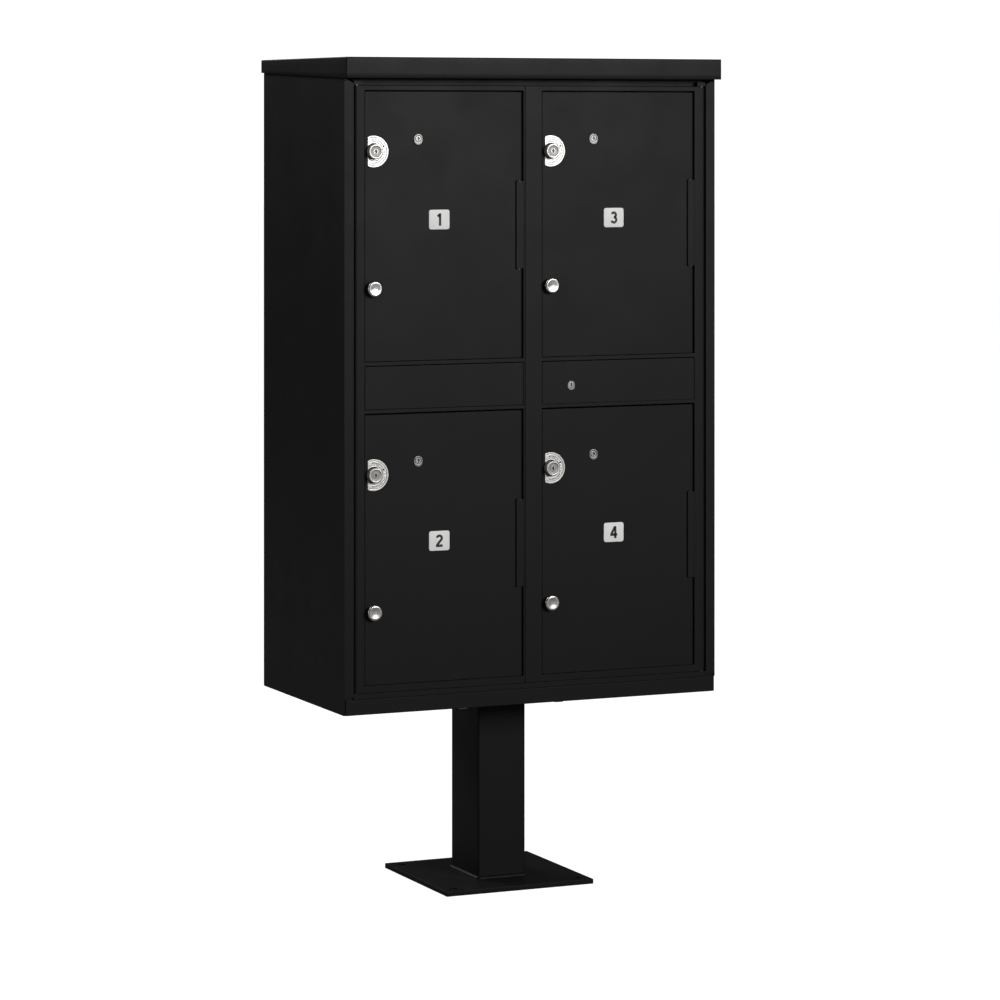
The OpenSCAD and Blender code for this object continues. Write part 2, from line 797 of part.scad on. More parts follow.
base_plate();
pedestal_column();
pedestal_top_plate();
pedestal_bolts();
cabinet_floor();
side_panel("left");  // left_side_panel
side_panel("right");  // right_side_panel
back_panel();
cabinet_roof();
hood();
centre_divider();
centre_post();
shelf("left");  // left_shelf
shelf("right");  // right_shelf
front_sill();
pivot_pins();
service_lock_body();
service_lock_plug();
service_bolt();
left_latch();
for (s = SIDES) {
    service_frame(s);
    blank_panel(s);
    hinge_tabs(s);
    hinge_pins(s);
}
for (i = DOORS) {
    door(i);
    dress_plate(i);
    lock_body(i);
    lock_plug(i);
    control_body(i);
    control_plug(i);
    knob(i);
    number_plate(i);
}
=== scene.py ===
"""Looks of an outdoor parcel locker unit: black powder-coated casing, doors, locks and pedestal.

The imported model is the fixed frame. Sheet-metal parts keep their shape and get bent edges, and the
hood, locks, knobs, plates and weld are built here as surfaces worked out with numpy.
"""

import logging
import math
from dataclasses import dataclass, field
from enum import Enum

import bmesh
import bpy
import numpy as np
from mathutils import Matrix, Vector


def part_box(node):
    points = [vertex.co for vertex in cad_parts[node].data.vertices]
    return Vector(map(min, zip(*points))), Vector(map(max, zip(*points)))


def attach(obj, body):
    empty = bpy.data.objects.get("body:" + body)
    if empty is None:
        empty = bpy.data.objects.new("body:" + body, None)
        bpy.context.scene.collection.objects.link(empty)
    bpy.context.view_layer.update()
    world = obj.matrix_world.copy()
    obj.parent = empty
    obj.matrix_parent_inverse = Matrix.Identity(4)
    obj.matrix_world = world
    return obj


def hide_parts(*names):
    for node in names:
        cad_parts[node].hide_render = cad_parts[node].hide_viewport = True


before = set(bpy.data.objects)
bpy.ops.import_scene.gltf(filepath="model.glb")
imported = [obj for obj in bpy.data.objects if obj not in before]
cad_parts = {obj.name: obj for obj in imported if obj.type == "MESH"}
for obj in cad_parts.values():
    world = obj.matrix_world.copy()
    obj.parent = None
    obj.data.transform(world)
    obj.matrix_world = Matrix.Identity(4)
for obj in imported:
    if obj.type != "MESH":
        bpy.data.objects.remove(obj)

log = logging.getLogger("locker")
MM = 0.001
DOORS = (1, 2, 3, 4)
SIDES = ("left", "right")
TURN = "turn"            # point attribute: distance along a turned profile, in metres
INK_AND_SHADE = "ink"              # point attribute: 1 where a mark is filled with paint; on the lock bezels it holds painted shade


class Slot(Enum):
    """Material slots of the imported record."""

    COAT = "black_powder_coat"
    LOCK = "black_lock_finish"
    BRIGHT = "bright_metal"
    PLUG = "plug_metal"
    PLATE = "white_plate"
    ZINC = "zinc_plated_steel"


# ---------------------------------------------------------------- shader graphs


class Graph:
    """A short way to write a node tree."""

    def __init__(self, tree: bpy.types.NodeTree) -> None:
        """Keeps the tree that nodes are added to."""
        self.tree = tree

    def add(self, kind: str, inputs: dict | None = None, **settings: object) -> bpy.types.Node:
        """Adds a node.

        Args:
            kind: the node's type without its ShaderNode prefix, or Group nodes in full.
            inputs: socket name or number to a value, or to an output socket to link from.
            settings: attributes of the node itself.

        Returns:
            The new node.
        """
        full = kind if kind.startswith("Node") else "ShaderNode" + kind
        node = self.tree.nodes.new(full)
        for name, value in settings.items():
            setattr(node, name, value)
        for name, value in (inputs or {}).items():
            self.put(node.inputs[name], value)
        return node

    def put(self, socket: bpy.types.NodeSocket, value: object) -> None:
        """Sets a socket to a value, or links it from an output socket."""
        if isinstance(value, bpy.types.NodeSocket):
            self.tree.links.new(value, socket)
        else:
            socket.default_value = value

    def math(self, operation: str, a: object, b: object = 0.0, clamp: bool = False) -> bpy.types.NodeSocket:
        """Adds a Math node and returns its output."""
        return self.add("Math", {0: a, 1: b}, operation=operation, use_clamp=clamp).outputs[0]

    def times(self, a: object, b: object, clamp: bool = False) -> bpy.types.NodeSocket:
        """Multiplies two values and returns the output."""
        return self.math("MULTIPLY", a, b, clamp)

    def noise(self, scale: object, detail: float, rough: float = 0.5) -> bpy.types.NodeSocket:
        """Adds a noise texture over the object's own coordinates and returns its value."""
        place = self.add("TexCoord").outputs["Object"]
        return self.add("TexNoise", {"Vector": place, "Scale": scale, "Detail": detail,
                                     "Roughness": rough}).outputs[0]

    def ramp(self, value: object, low: float, high: float, to_low: float = 0.0,
             to_high: float = 1.0) -> bpy.types.NodeSocket:
        """Maps a value from one range onto another, clamped, and returns the output."""
        node = self.add("MapRange", {"Value": value, "From Min": low, "From Max": high,
                                     "To Min": to_low, "To Max": to_high})
        return node.outputs["Result"]

    def blend(self, factor: object, first: object, second: object) -> bpy.types.NodeSocket:
        """Mixes two colours and returns the output."""
        node = self.add("Mix", data_type="RGBA")
        self.put(node.inputs[0], factor)
        self.put(node.inputs[6], first)
        self.put(node.inputs[7], second)
        return node.outputs[2]

    def relief(self, bsdf: bpy.types.Node, strength: float, distance: float, height: object,
               normal: object) -> None:
        """Feeds a height, on top of a normal, through a Bump node to the BSDF."""
        bump = self.add("Bump", {"Strength": strength, "Distance": distance, "Height": height,
                                 "Normal": normal})
        self.put(bsdf.inputs["Normal"], bump.outputs[0])


class NodeGroup:
    """A shader node group with named inputs and outputs, built once."""

    def __init__(self, name: str, inputs: dict[str, float], outputs: dict[str, str]) -> None:
        """Makes the group's sockets.

        Args:
            name: the group's name.
            inputs: float inputs and their usual values.
            outputs: output names and their kinds, Float, Color or Vector.
        """
        self.tree = bpy.data.node_groups.new(name, "ShaderNodeTree")
        for socket, value in inputs.items():
            made = self.tree.interface.new_socket(socket, in_out="INPUT", socket_type="NodeSocketFloat")
            made.default_value = value
        for socket, kind in outputs.items():
            self.tree.interface.new_socket(socket, in_out="OUTPUT", socket_type="NodeSocket" + kind)
        self.graph = Graph(self.tree)
        self.start = self.graph.add("NodeGroupInput")
        self.end = self.graph.add("NodeGroupOutput")

    def place(self, graph: Graph, **values: object) -> bpy.types.Node:
        """Puts the group into a material with its own values."""
        node = graph.add("Group", node_tree=self.tree)
        for name, value in values.items():
            graph.put(node.inputs[name], value)
        return node


def powder_grain_group() -> NodeGroup:
    """Orange peel of a sprayed coat: a soft wave of two to three millimetres with a fine grain in it.

    Returns:
        A group with outputs Height, Mottle (0 to 1, patches over the panels) and Fleck (0 to 1).
    """
    group = NodeGroup("powder grain", {"Wave": 420.0, "Grain": 2600.0, "Patch": 9.0},
                      {"Height": "Float", "Mottle": "Float", "Fleck": "Float"})
    g, start = group.graph, group.start.outputs
    wave = g.noise(start["Wave"], 2.0, 0.45)
    grain = g.noise(start["Grain"], 1.0)
    patch = g.noise(start["Patch"], 4.0, 0.55)
    g.put(group.end.inputs["Height"], g.math("ADD", g.times(wave, 0.7), g.times(grain, 0.3)))
    g.put(group.end.inputs["Mottle"], g.ramp(patch, 0.3, 0.7))
    g.put(group.end.inputs["Fleck"], g.ramp(grain, 0.60, 0.74))
    return group


def edge_group() -> NodeGroup:
    """Corners as a soft bend, and a mask of where they are, broken up as real wear is.

    Returns:
        A group with outputs Mask (0 to 1) and Normal.
    """
    group = NodeGroup("edge wear", {"Radius": 0.8 * MM, "Break": 160.0, "Amount": 1.0},
                      {"Mask": "Float", "Normal": "Vector"})
    g, start = group.graph, group.start.outputs
    soft = g.add("Bevel", {"Radius": start["Radius"]}, samples=6)
    flat = g.add("NewGeometry").outputs["True Normal"]
    turned = g.add("VectorMath", {0: soft.outputs[0], 1: flat}, operation="DOT_PRODUCT").outputs["Value"]
    edge = g.ramp(turned, 0.985, 0.80)
    torn = g.ramp(g.noise(start["Break"], 3.0), 0.42, 0.62, 0.25)
    g.put(group.end.inputs["Mask"], g.times(g.times(edge, torn), start["Amount"], clamp=True))
    g.put(group.end.inputs["Normal"], soft.outputs[0])
    return group


def dust_group() -> NodeGroup:
    """Fine dust that lies on faces that look up, in faint drifts.

    Returns:
        A group with the output Mask (0 to 1).
    """
    group = NodeGroup("settled dust", {"Amount": 0.3, "Scale": 26.0}, {"Mask": "Float"})
    g, start = group.graph, group.start.outputs
    up = g.add("SeparateXYZ", {0: g.add("NewGeometry").outputs["Normal"]}).outputs["Z"]
    drift = g.ramp(g.noise(start["Scale"], 6.0, 0.6), 0.35, 0.75, 0.25)
    lies = g.times(g.ramp(up, 0.55, 0.98), drift)
    g.put(group.end.inputs["Mask"], g.times(lies, start["Amount"], clamp=True))
    return group


def turning_group() -> NodeGroup:
    """Fine rings that a lathe leaves, read along the turned profile.

    Returns:
        A group with outputs Height and Streak (0 to 1).
    """
    group = NodeGroup("turning rings", {"Pitch": 5200.0}, {"Height": "Float", "Streak": "Float"})
    g, start = group.graph, group.start.outputs
    along = g.add("Attribute", attribute_name=TURN).outputs["Fac"]
    rings = g.add("TexNoise", {"W": g.times(along, start["Pitch"]), "Scale": 1.0, "Detail": 3.0},
                  noise_dimensions="1D")
    g.put(group.end.inputs["Height"], rings.outputs[0])
    g.put(group.end.inputs["Streak"], g.ramp(rings.outputs[0], 0.3, 0.7, 0.0, 1.0))
    return group


def brushed_group() -> NodeGroup:
    """Straight rolled or brushed grain, long along Z, with a finer cross mottle.

    Returns:
        A group with outputs Height and Streak (0 to 1).
    """
    group = NodeGroup("rolled grain", {"Scale": 900.0, "Stretch": 0.04},
                      {"Height": "Float", "Streak": "Float"})
    g, start = group.graph, group.start.outputs
    place = g.add("SeparateXYZ", {0: g.add("TexCoord").outputs["Object"]})
    long_z = g.times(place.outputs["Z"], start["Stretch"])
    along = g.add("CombineXYZ", {"X": place.outputs["X"], "Y": place.outputs["Y"], "Z": long_z})
    lines = g.add("TexNoise", {"Vector": along.outputs[0], "Scale": start["Scale"], "Detail": 2.0})
    g.put(group.end.inputs["Height"], lines.outputs[0])
    g.put(group.end.inputs["Streak"], g.ramp(lines.outputs[0], 0.3, 0.7, 0.0, 1.0))
    return group


@dataclass(frozen=True)
class ShaderKit:
    """The node groups that the finishes share."""

    grain: NodeGroup = field(default_factory=powder_grain_group)
    edge: NodeGroup = field(default_factory=edge_group)
    dust: NodeGroup = field(default_factory=dust_group)
    turning: NodeGroup = field(default_factory=turning_group)
    brushed: NodeGroup = field(default_factory=brushed_group)


KIT = ShaderKit()
Colour = tuple[float, float, float]
DUST: Colour = (0.09, 0.085, 0.078)
PAINT_AND_SHADE: Colour = (0.014, 0.013, 0.013)    # in the engraved marks, and as painted shade on the lock bezels
GREY: Colour = (1.0, 1.0, 1.0)           # white, or a grey when scaled
FINE = 0.05 * MM                         # height of fine grain in metal and plastic


def rgba(colour: Colour, factor: float = 1.0) -> tuple[float, float, float, float]:
    """A colour with full alpha, made lighter or darker by a factor."""
    return (*(min(1.0, c * factor) for c in colour), 1.0)


def new_material(name: str) -> tuple[bpy.types.Material, Graph, bpy.types.Node]:
    """Makes a material with one Principled BSDF.

    Returns:
        The material, its graph and its BSDF node.
    """
    material = bpy.data.materials.new(name)
    material.use_nodes = True
    return material, Graph(material.node_tree), material.node_tree.nodes["Principled BSDF"]


@dataclass(frozen=True)
class PowderCoat:
    """Satin black polyester powder coat on sheet metal."""

    name: str
    colour: Colour = (0.0062, 0.0058, 0.0060)
    worn: Colour = (0.020, 0.019, 0.019)
    roughness: float = 0.46
    specular: float = 0.13
    peel: float = 0.10
    dust: float = 0.05
    edge_radius: float = 0.8 * MM

    def build(self) -> bpy.types.Material:
        """Makes the material: peel and grain in the bump, patches in the gloss, thin coat on the edges."""
        material, g, bsdf = new_material(self.name)
        grain = KIT.grain.place(g).outputs
        edge = KIT.edge.place(g, Radius=self.edge_radius, Amount=0.55).outputs
        dust = KIT.dust.place(g, Amount=self.dust).outputs["Mask"]
        flecked = g.blend(g.times(grain["Fleck"], 0.35), rgba(self.colour), rgba(self.colour, 1.9))
        toned = g.blend(g.times(grain["Mottle"], 0.22), flecked, rgba(self.colour, 0.75))
        edged = g.blend(g.times(edge["Mask"], 0.5), toned, rgba(self.worn))
        g.put(bsdf.inputs["Base Color"], g.blend(dust, edged, rgba(DUST)))
        gloss = g.ramp(grain["Mottle"], 0.0, 1.0, self.roughness - 0.03, self.roughness + 0.04)
        smoother = g.math("SUBTRACT", gloss, g.times(edge["Mask"], 0.08))
        g.put(bsdf.inputs["Roughness"], g.math("ADD", smoother, g.times(dust, 0.4), clamp=True))
        bsdf.inputs["Specular IOR Level"].default_value = self.specular
        g.relief(bsdf, self.peel, 0.25 * MM, grain["Height"], edge["Normal"])
        return material


@dataclass(frozen=True)
class TurnedMetal:
    """Metal turned on a lathe, with rings in its gloss and brighter worn edges."""

    name: str
    colour: Colour = (0.74, 0.73, 0.71)
    dull: Colour = (0.50, 0.49, 0.47)
    roughness: float = 0.24
    metallic: float = 1.0
    ring_bump: float = 0.12
    inked: bool = False

    def build(self) -> bpy.types.Material:
        """Makes the material: rings from the turn attribute, stains, and paint in the engraved marks, which
        on the lock bezels is painted shade.
        """
        material, g, bsdf = new_material(self.name)
        rings = KIT.turning.place(g).outputs
        edge = KIT.edge.place(g, Radius=0.25 * MM, Break=900.0, Amount=0.8).outputs
        stain = KIT.grain.place(g, Wave=900.0, Patch=160.0).outputs
        tone = g.times(rings["Streak"], 0.45)
        base = g.blend(tone, rgba(self.colour), rgba(self.dull))
        stained = g.blend(g.times(stain["Mottle"], 0.25), base, rgba(self.dull))
        bright = g.blend(g.times(edge["Mask"], 0.5), stained, rgba(self.colour, 1.2))
        rough = g.ramp(rings["Streak"], 0.0, 1.0, self.roughness - 0.05, self.roughness + 0.08)
        metal: object = self.metallic
        # Black paint where the ink attribute is set: the engraved marks, and painted shade on the lock
        # bezels.
        if self.inked:
            ink = g.ramp(g.add("Attribute", attribute_name=INK_AND_SHADE).outputs["Fac"], 0.35, 0.65)
            bright = g.blend(ink, bright, rgba(PAINT_AND_SHADE))
            rough = g.math("ADD", rough, g.times(ink, 0.35))
            metal = g.math("SUBTRACT", self.metallic, g.times(ink, self.metallic))
        g.put(bsdf.inputs["Base Color"], bright)
        g.put(bsdf.inputs["Roughness"], rough)
        g.put(bsdf.inputs["Metallic"], metal)
        g.relief(bsdf, self.ring_bump, FINE, rings["Height"], edge["Normal"])
        return material


@dataclass(frozen=True)
class RolledMetal:
    """Plated or lacquered flat metal with a rolled grain."""

    name: str
    colour: Colour = (0.46, 0.47, 0.48)
    tint: Colour = (0.42, 0.40, 0.33)
    roughness: float = 0.36
    metallic: float = 1.0

    def build(self) -> bpy.types.Material:
        """Makes the material: grain lines in the bump and gloss, and a faint passivated tint in patches."""
        material, g, bsdf = new_material(self.name)
        lines = KIT.brushed.place(g).outputs
        edge = KIT.edge.place(g, Radius=0.3 * MM, Break=600.0, Amount=0.8).outputs
        stain = KIT.grain.place(g, Wave=700.0, Patch=70.0).outputs
        base = g.blend(g.times(stain["Mottle"], 0.6), rgba(self.colour), rgba(self.tint))
        g.put(bsdf.inputs["Base Color"], g.blend(g.times(edge["Mask"], 0.4), base, rgba(self.colour, 1.5)))
        gloss = g.ramp(lines["Streak"], 0.0, 1.0, self.roughness - 0.06, self.roughness + 0.10)
        g.put(bsdf.inputs["Roughness"], gloss)
        bsdf.inputs["Metallic"].default_value = self.metallic
        g.relief(bsdf, 0.15, FINE, lines["Height"], edge["Normal"])
        return material


@dataclass(frozen=True)
class PlatePlastic:
    """Matt engraving plastic, or the paint that fills its figures."""

    name: str
    colour: Colour = (0.86, 0.86, 0.85)
    shade: Colour = (0.74, 0.73, 0.70)
    roughness: float = 0.5

    def build(self) -> bpy.types.Material:
        """Makes the material: fine grain in the bump and a faint unevenness in tone."""
        material, g, bsdf = new_material(self.name)
        grain = KIT.grain.place(g, Wave=1600.0, Grain=5200.0, Patch=60.0).outputs
        edge = KIT.edge.place(g, Radius=0.3 * MM, Break=700.0, Amount=1.0).outputs
        toned = g.blend(g.times(grain["Mottle"], 0.25), rgba(self.colour), rgba(self.shade))
        g.put(bsdf.inputs["Base Color"], g.blend(g.times(edge["Mask"], 0.3), toned, rgba(self.shade)))
        gloss = g.ramp(grain["Fleck"], 0.0, 1.0, self.roughness, self.roughness + 0.1)
        g.put(bsdf.inputs["Roughness"], gloss)
        g.relief(bsdf, 0.1, FINE, grain["Height"], edge["Normal"])
        return material


def finish(kind: type, name: str, **values: object) -> bpy.types.Material:
    """A field of Finishes that builds its own material."""
    return field(default_factory=lambda: kind(name, **values).build())


@dataclass(frozen=True)
class Finishes:
    """Every finish of the unit, built once."""

    coat: bpy.types.Material = finish(PowderCoat, "Powder coat")
    coat_inner: bpy.types.Material = finish(PowderCoat, "Powder coat inner", roughness=0.52, dust=0.12)
    coat_post: bpy.types.Material = finish(PowderCoat, "Powder coat pedestal", peel=0.14, dust=0.10,
                                           edge_radius=1.2 * MM)
    lock_black: bpy.types.Material = finish(RolledMetal, "Lock lacquer", colour=(0.022, 0.021, 0.021),
                                            tint=(0.016, 0.016, 0.016), roughness=0.4, metallic=0.0)
    bright: bpy.types.Material = finish(TurnedMetal, "Nickel plate")
    # Its ink attribute paints the engraved marks of the plate, and painted shade in the lock bezels' dish and
    # side wall.
    marked: bpy.types.Material = finish(TurnedMetal, "Nickel plate with marks", colour=(0.60, 0.59, 0.575),
                                        dull=(0.38, 0.37, 0.355), roughness=0.36, inked=True)
    plug: bpy.types.Material = finish(TurnedMetal, "Nickel silver", colour=(0.34, 0.333, 0.32),
                                      dull=(0.18, 0.176, 0.168), roughness=0.36)
    ring: bpy.types.Material = finish(TurnedMetal, "Dull lock face", colour=(0.22, 0.215, 0.21),
                                      dull=(0.11, 0.107, 0.104), roughness=0.38)
    zinc: bpy.types.Material = finish(RolledMetal, "Zinc plate")
    plate: bpy.types.Material = finish(PlatePlastic, "Engraving plastic")
    ink: bpy.types.Material = finish(PlatePlastic, "Figure paint", colour=(0.012, 0.012, 0.012),
                                     shade=(0.02, 0.02, 0.02), roughness=0.55)


# ---------------------------------------------------------------- surfaces


def grid_quads(rows: int, columns: int, wrap: bool) -> np.ndarray:
    """Quads of a grid of points stored row after row.

    Args:
        rows: number of rows.
        columns: number of points in a row.
        wrap: whether the last column joins the first.

    Returns:
        An array of corner numbers, four to a quad.
    """
    row = np.arange(rows - 1)[:, None]
    column = np.arange(columns if wrap else columns - 1)[None, :]
    after = (column + 1) % columns
    corners = (row * columns + column, (row + 1) * columns + column,
               (row + 1) * columns + after, row * columns + after)
    return np.stack(np.broadcast_arrays(*corners), axis=-1).reshape(-1, 4)


def rounded_line(points: np.ndarray, radius: float, steps: int = 4, closed: bool = False) -> np.ndarray:
    """A line of straight runs with each corner replaced by a curve.

    A corner's curve is B(t) = (1-t)^2 a + 2t(1-t) c + t^2 b, where c is the corner and a and b lie on
    its two runs at the radius from it, or at 0.45 of a short run.

    Args:
        points: the corners, one to a row.
        radius: how far from the corner the curve starts.
        steps: points in each curve.
        closed: whether the last corner joins the first.

    Returns:
        The points of the new line.
    """
    before, after = np.roll(points, 1, axis=0) - points, np.roll(points, -1, axis=0) - points
    length = [np.maximum(np.linalg.norm(v, axis=1, keepdims=True), 1e-12) for v in (before, after)]
    near = points + before / length[0] * np.minimum(radius, 0.45 * length[0])
    far = points + after / length[1] * np.minimum(radius, 0.45 * length[1])
    t = np.linspace(0, 1, steps)[None, :, None]
    curve = (1 - t) ** 2 * near[:, None] + 2 * t * (1 - t) * points[:, None] + t ** 2 * far[:, None]
    if closed:
        return curve.reshape(-1, points.shape[1])
    inner = curve[1:-1].reshape(-1, points.shape[1])
    return np.concatenate([points[:1], inner, points[-1:]])


def inset(outline: np.ndarray, amount: np.ndarray) -> np.ndarray:
    """An anticlockwise outline moved inwards by each amount, mitred at its corners.

    Each point moves along (m + n) / (1 + m.n), where m and n are the inward normals of its two edges.

    Args:
        outline: N points.
        amount: K distances.

    Returns:
        K x N points.
    """
    along = np.roll(outline, -1, axis=0) - outline
    along = along / np.maximum(np.linalg.norm(along, axis=1, keepdims=True), 1e-12)
    normal = np.stack([-along[:, 1], along[:, 0]], axis=1)
    last = np.roll(normal, 1, axis=0)
    mitre = (normal + last) / (1 + (normal * last).sum(1, keepdims=True))
    return outline[None] + np.asarray(amount)[:, None, None] * mitre[None]


def rectangle(width: float, height: float) -> np.ndarray:
    """Corners of a rectangle about the origin, anticlockwise."""
    return np.array([[-1, -1], [1, -1], [1, 1], [-1, 1]]) * np.array([width / 2, height / 2])


def arc(radius: float, start: float, end: float, steps: int) -> np.ndarray:
    """Points on a circle about the origin, with angles in degrees."""
    angle = np.radians(np.linspace(start, end, steps))
    return radius * np.stack([np.cos(angle), np.sin(angle)], axis=1)


def linked(name: str, data: bpy.types.ID) -> bpy.types.Object:
    """A new object in the scene."""
    made = bpy.data.objects.new(name, data)
    bpy.context.scene.collection.objects.link(made)
    return made


class Shell:
    """Surfaces gathered into one mesh. Outlines lie in X and Z, and depth runs along Y."""

    def __init__(self, name: str) -> None:
        """Starts an empty mesh with this piece name."""
        self.name = name
        self.points: list[np.ndarray] = []
        self.faces: list[list[int]] = []
        self.materials: list[int] = []
        self.values: dict[str, list[np.ndarray]] = {TURN: [], INK_AND_SHADE: []}
        self.count = 0

    def surface(self, points: np.ndarray, wrap: bool = True, caps: tuple[bool, bool] = (False, False),
                turn: np.ndarray | None = None, ink: np.ndarray | None = None, material: int = 0,
                loop: bool = False) -> None:
        """Adds a grid of points as a surface.

        Args:
            points: rows x columns x 3.
            wrap: whether each row is a closed ring.
            caps: whether the first and last rows are filled with one face.
            turn: distance along the profile, one to a row.
            ink: paint mask, rows x columns; on the lock bezels it holds painted shade.
            material: number of the material slot.
            loop: whether the last row joins the first.
        """
        rows, columns = points.shape[:2]
        quads = grid_quads(rows + loop, columns, wrap) % (rows * columns)
        faces = (quads + self.count).tolist()
        ring = np.arange(columns)
        if caps[0]:
            faces.append((self.count + ring).tolist())
        if caps[1]:
            faces.append((self.count + (rows - 1) * columns + ring[::-1]).tolist())
        self.faces += faces
        self.materials += [material] * len(faces)
        self.points.append(points.reshape(-1, 3))
        along = np.zeros(rows) if turn is None else turn[:rows]
        self.values[TURN].append(np.repeat(along, columns))
        self.values[INK_AND_SHADE].append(np.zeros(rows * columns) if ink is None else ink.ravel())
        self.count += rows * columns

    def lathe(self, profile: np.ndarray, centre: Vector, steps: int = 64, loop: bool = False,
              material: int = 0, shape: np.ndarray | None = None, ink: np.ndarray | None = None,
              lobe: np.ndarray | None = None) -> None:
        """Adds a turned surface: P(s, a) = centre + (r(s) cos a, y(s), r(s) sin a - lobe(s) [sin a < 0]).

        Args:
            profile: radius and depth, one pair to a row, in metres.
            centre: the axis, and the depth that the profile starts from.
            steps: points round the axis.
            loop: whether the profile is closed, as for a ring.
            material: number of the material slot.
            shape: factor on the radius, rows x steps, for a shape that isn't round.
            ink: paint mask, one to a row; on the lock bezels it holds painted shade.
            lobe: how far the lower half hangs down, one to a row.
        """
        angle = np.linspace(0, 2 * np.pi, steps, endpoint=False)
        radius = profile[:, :1] * (1 if shape is None else shape)
        x = centre.x + radius * np.cos(angle)
        z = centre.z + radius * np.sin(angle)
        if lobe is not None:
            z = z - lobe[:, None] * (np.sin(angle) < -1e-6)
        y = centre.y + np.broadcast_to(profile[:, 1:2], x.shape)
        step = np.linalg.norm(np.diff(profile, axis=0), axis=1)
        turn = np.concatenate([[0.0], np.cumsum(step)])
        paint = None if ink is None else np.broadcast_to(ink[:, None], x.shape).copy()
        self.surface(np.stack([x, y, z], axis=-1), caps=(not loop, not loop), turn=turn, loop=loop,
                     material=material, ink=paint)

    def slab(self, outline: np.ndarray, profile: np.ndarray, centre: Vector, material: int = 0) -> None:
        """Adds a plate: an anticlockwise outline carried through a profile of inset and depth.

        Args:
            outline: N points of X and Z about the centre.
            profile: inset and depth, one pair to a row, from the front face to the back face.
            centre: where the outline's origin lies.
            material: number of the material slot.
        """
        rings = inset(outline, profile[:, 0])
        depth = np.broadcast_to(profile[:, 1][:, None], rings.shape[:2])
        points = np.stack([rings[..., 0], depth, rings[..., 1]], axis=-1) + np.array(centre)
        self.surface(points, caps=(True, True), material=material)

    def build(self, *materials: bpy.types.Material, sharp: float = 38.0) -> bpy.types.Object:
        """Makes the object, with its faces pointing outwards and its sharp edges marked.

        Args:
            materials: the piece's materials, in the order of their numbers.
            sharp: angle in degrees past which an edge stays sharp.

        Returns:
            The object, at the origin with its place in its mesh.
        """
        mesh = bpy.data.meshes.new(self.name)
        mesh.from_pydata(np.concatenate(self.points).tolist(), [], self.faces)
        for material in materials:
            mesh.materials.append(material)
        mesh.polygons.foreach_set("material_index", np.array(self.materials, dtype=np.int32))
        for name, parts in self.values.items():
            layer = mesh.attributes.new(name, "FLOAT", "POINT")
            layer.data.foreach_set("value", np.concatenate(parts).astype(np.float32))
        tidy = bmesh.new()
        tidy.from_mesh(mesh)
        bmesh.ops.recalc_face_normals(tidy, faces=tidy.faces)
        tidy.to_mesh(mesh)
        tidy.free()
        mesh.polygons.foreach_set("use_smooth", np.ones(len(mesh.polygons), dtype=bool))
        mesh.set_sharp_from_angle(angle=math.radians(sharp))
        return linked(self.name, mesh)


def hand_over(piece: bpy.types.Object, body: str, slot: Slot, *nodes: str) -> None:
    """Puts a finished piece on its body, in place of the CAD nodes it stands for."""
    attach(piece, body)
    if nodes:
        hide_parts(*nodes)
    log.info("%s: %d faces on %s", piece.name, len(piece.data.polygons), body)


def bent_copy(node: str, name: str, radius: float, material: bpy.types.Material, body: str,
              slot: Slot = Slot.COAT, segments: int = 3, dissolve: bool = True) -> bpy.types.Object:
    """A sheet-metal CAD part with its edges rounded as a press and the coat leave them.

    Args:
        node: the CAD node that the piece stands for.
        name: the piece's name.
        radius: radius of the rounded edges.
        material: its finish.
        body: the body it rides on.
        slot: the record's material slot; passed on to hand_over, which does not use it.
        segments: faces across a rounded edge.
        dissolve: whether flat faces are joined first; a sheet with large openings keeps its own faces.

    Returns:
        The new piece.
    """
    work = bmesh.new()
    work.from_mesh(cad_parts[node].data)
    bmesh.ops.remove_doubles(work, verts=work.verts, dist=0.004 * MM)
    if dissolve:
        bmesh.ops.dissolve_limit(work, angle_limit=math.radians(0.5), verts=work.verts, edges=work.edges)
    mesh = bpy.data.meshes.new(name)
    work.verts.ensure_lookup_table()
    mesh.from_pydata([v.co[:] for v in work.verts], [], [[v.index for v in f.verts] for f in work.faces])
    work.free()
    mesh.materials.append(material)
    mesh.polygons.foreach_set("use_smooth", np.ones(len(mesh.polygons), dtype=bool))
    piece = linked(name, mesh)
    bend = piece.modifiers.new("rounded edges", "BEVEL")
    bend.width, bend.segments, bend.limit_method = radius, segments, "ANGLE"
    bend.angle_limit = math.radians(40)
    bend.use_clamp_overlap = True
    bend.harden_normals = True
    hand_over(piece, body, slot, node)
    return piece


def centre_of(node: str) -> Vector:
    """The middle of a CAD node's box."""
    low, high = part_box(node)
    return (low + high) / 2


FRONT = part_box("door_1")[0].y           # the doors' front face
NUT_SEAT = 2.5 * MM + 0.02 * MM         # just behind the doors' sheet
NUT_HEIGHT = 4.98 * MM
CAM_SEAT, CAM_THICK = 5.0 * MM, 3.0 * MM
FIT = 0.05 * MM                         # between a plug and its bore


def axis_at(x: float, z: float) -> Vector:
    """A fitting's axis, at the doors' front face."""
    return Vector((x, FRONT, z))


# ---------------------------------------------------------------- sub-assemblies


@dataclass
class Casing:
    """Casing sheets, floor, roof and inner walls, with bent edges."""

    finishes: Finishes
    sheet_radius: float = 1.1 * MM
    outer: tuple[str, ...] = ("left_side_panel", "right_side_panel", "back_panel", "front_sill",
                              "cabinet_roof", "cabinet_floor")
    inner: tuple[str, ...] = ("centre_divider", "centre_post", "left_shelf", "right_shelf")

    def build(self) -> None:
        """Builds and dresses each sheet, and the pivot pins."""
        for node in self.outer:
            bent_copy(node, node + "_sheet", self.sheet_radius, self.finishes.coat, "cabinet")
        for node in self.inner:
            bent_copy(node, node + "_sheet", 0.5 * MM, self.finishes.coat_inner, "cabinet", segments=2)
        dress("pivot_pins", self.finishes.zinc)


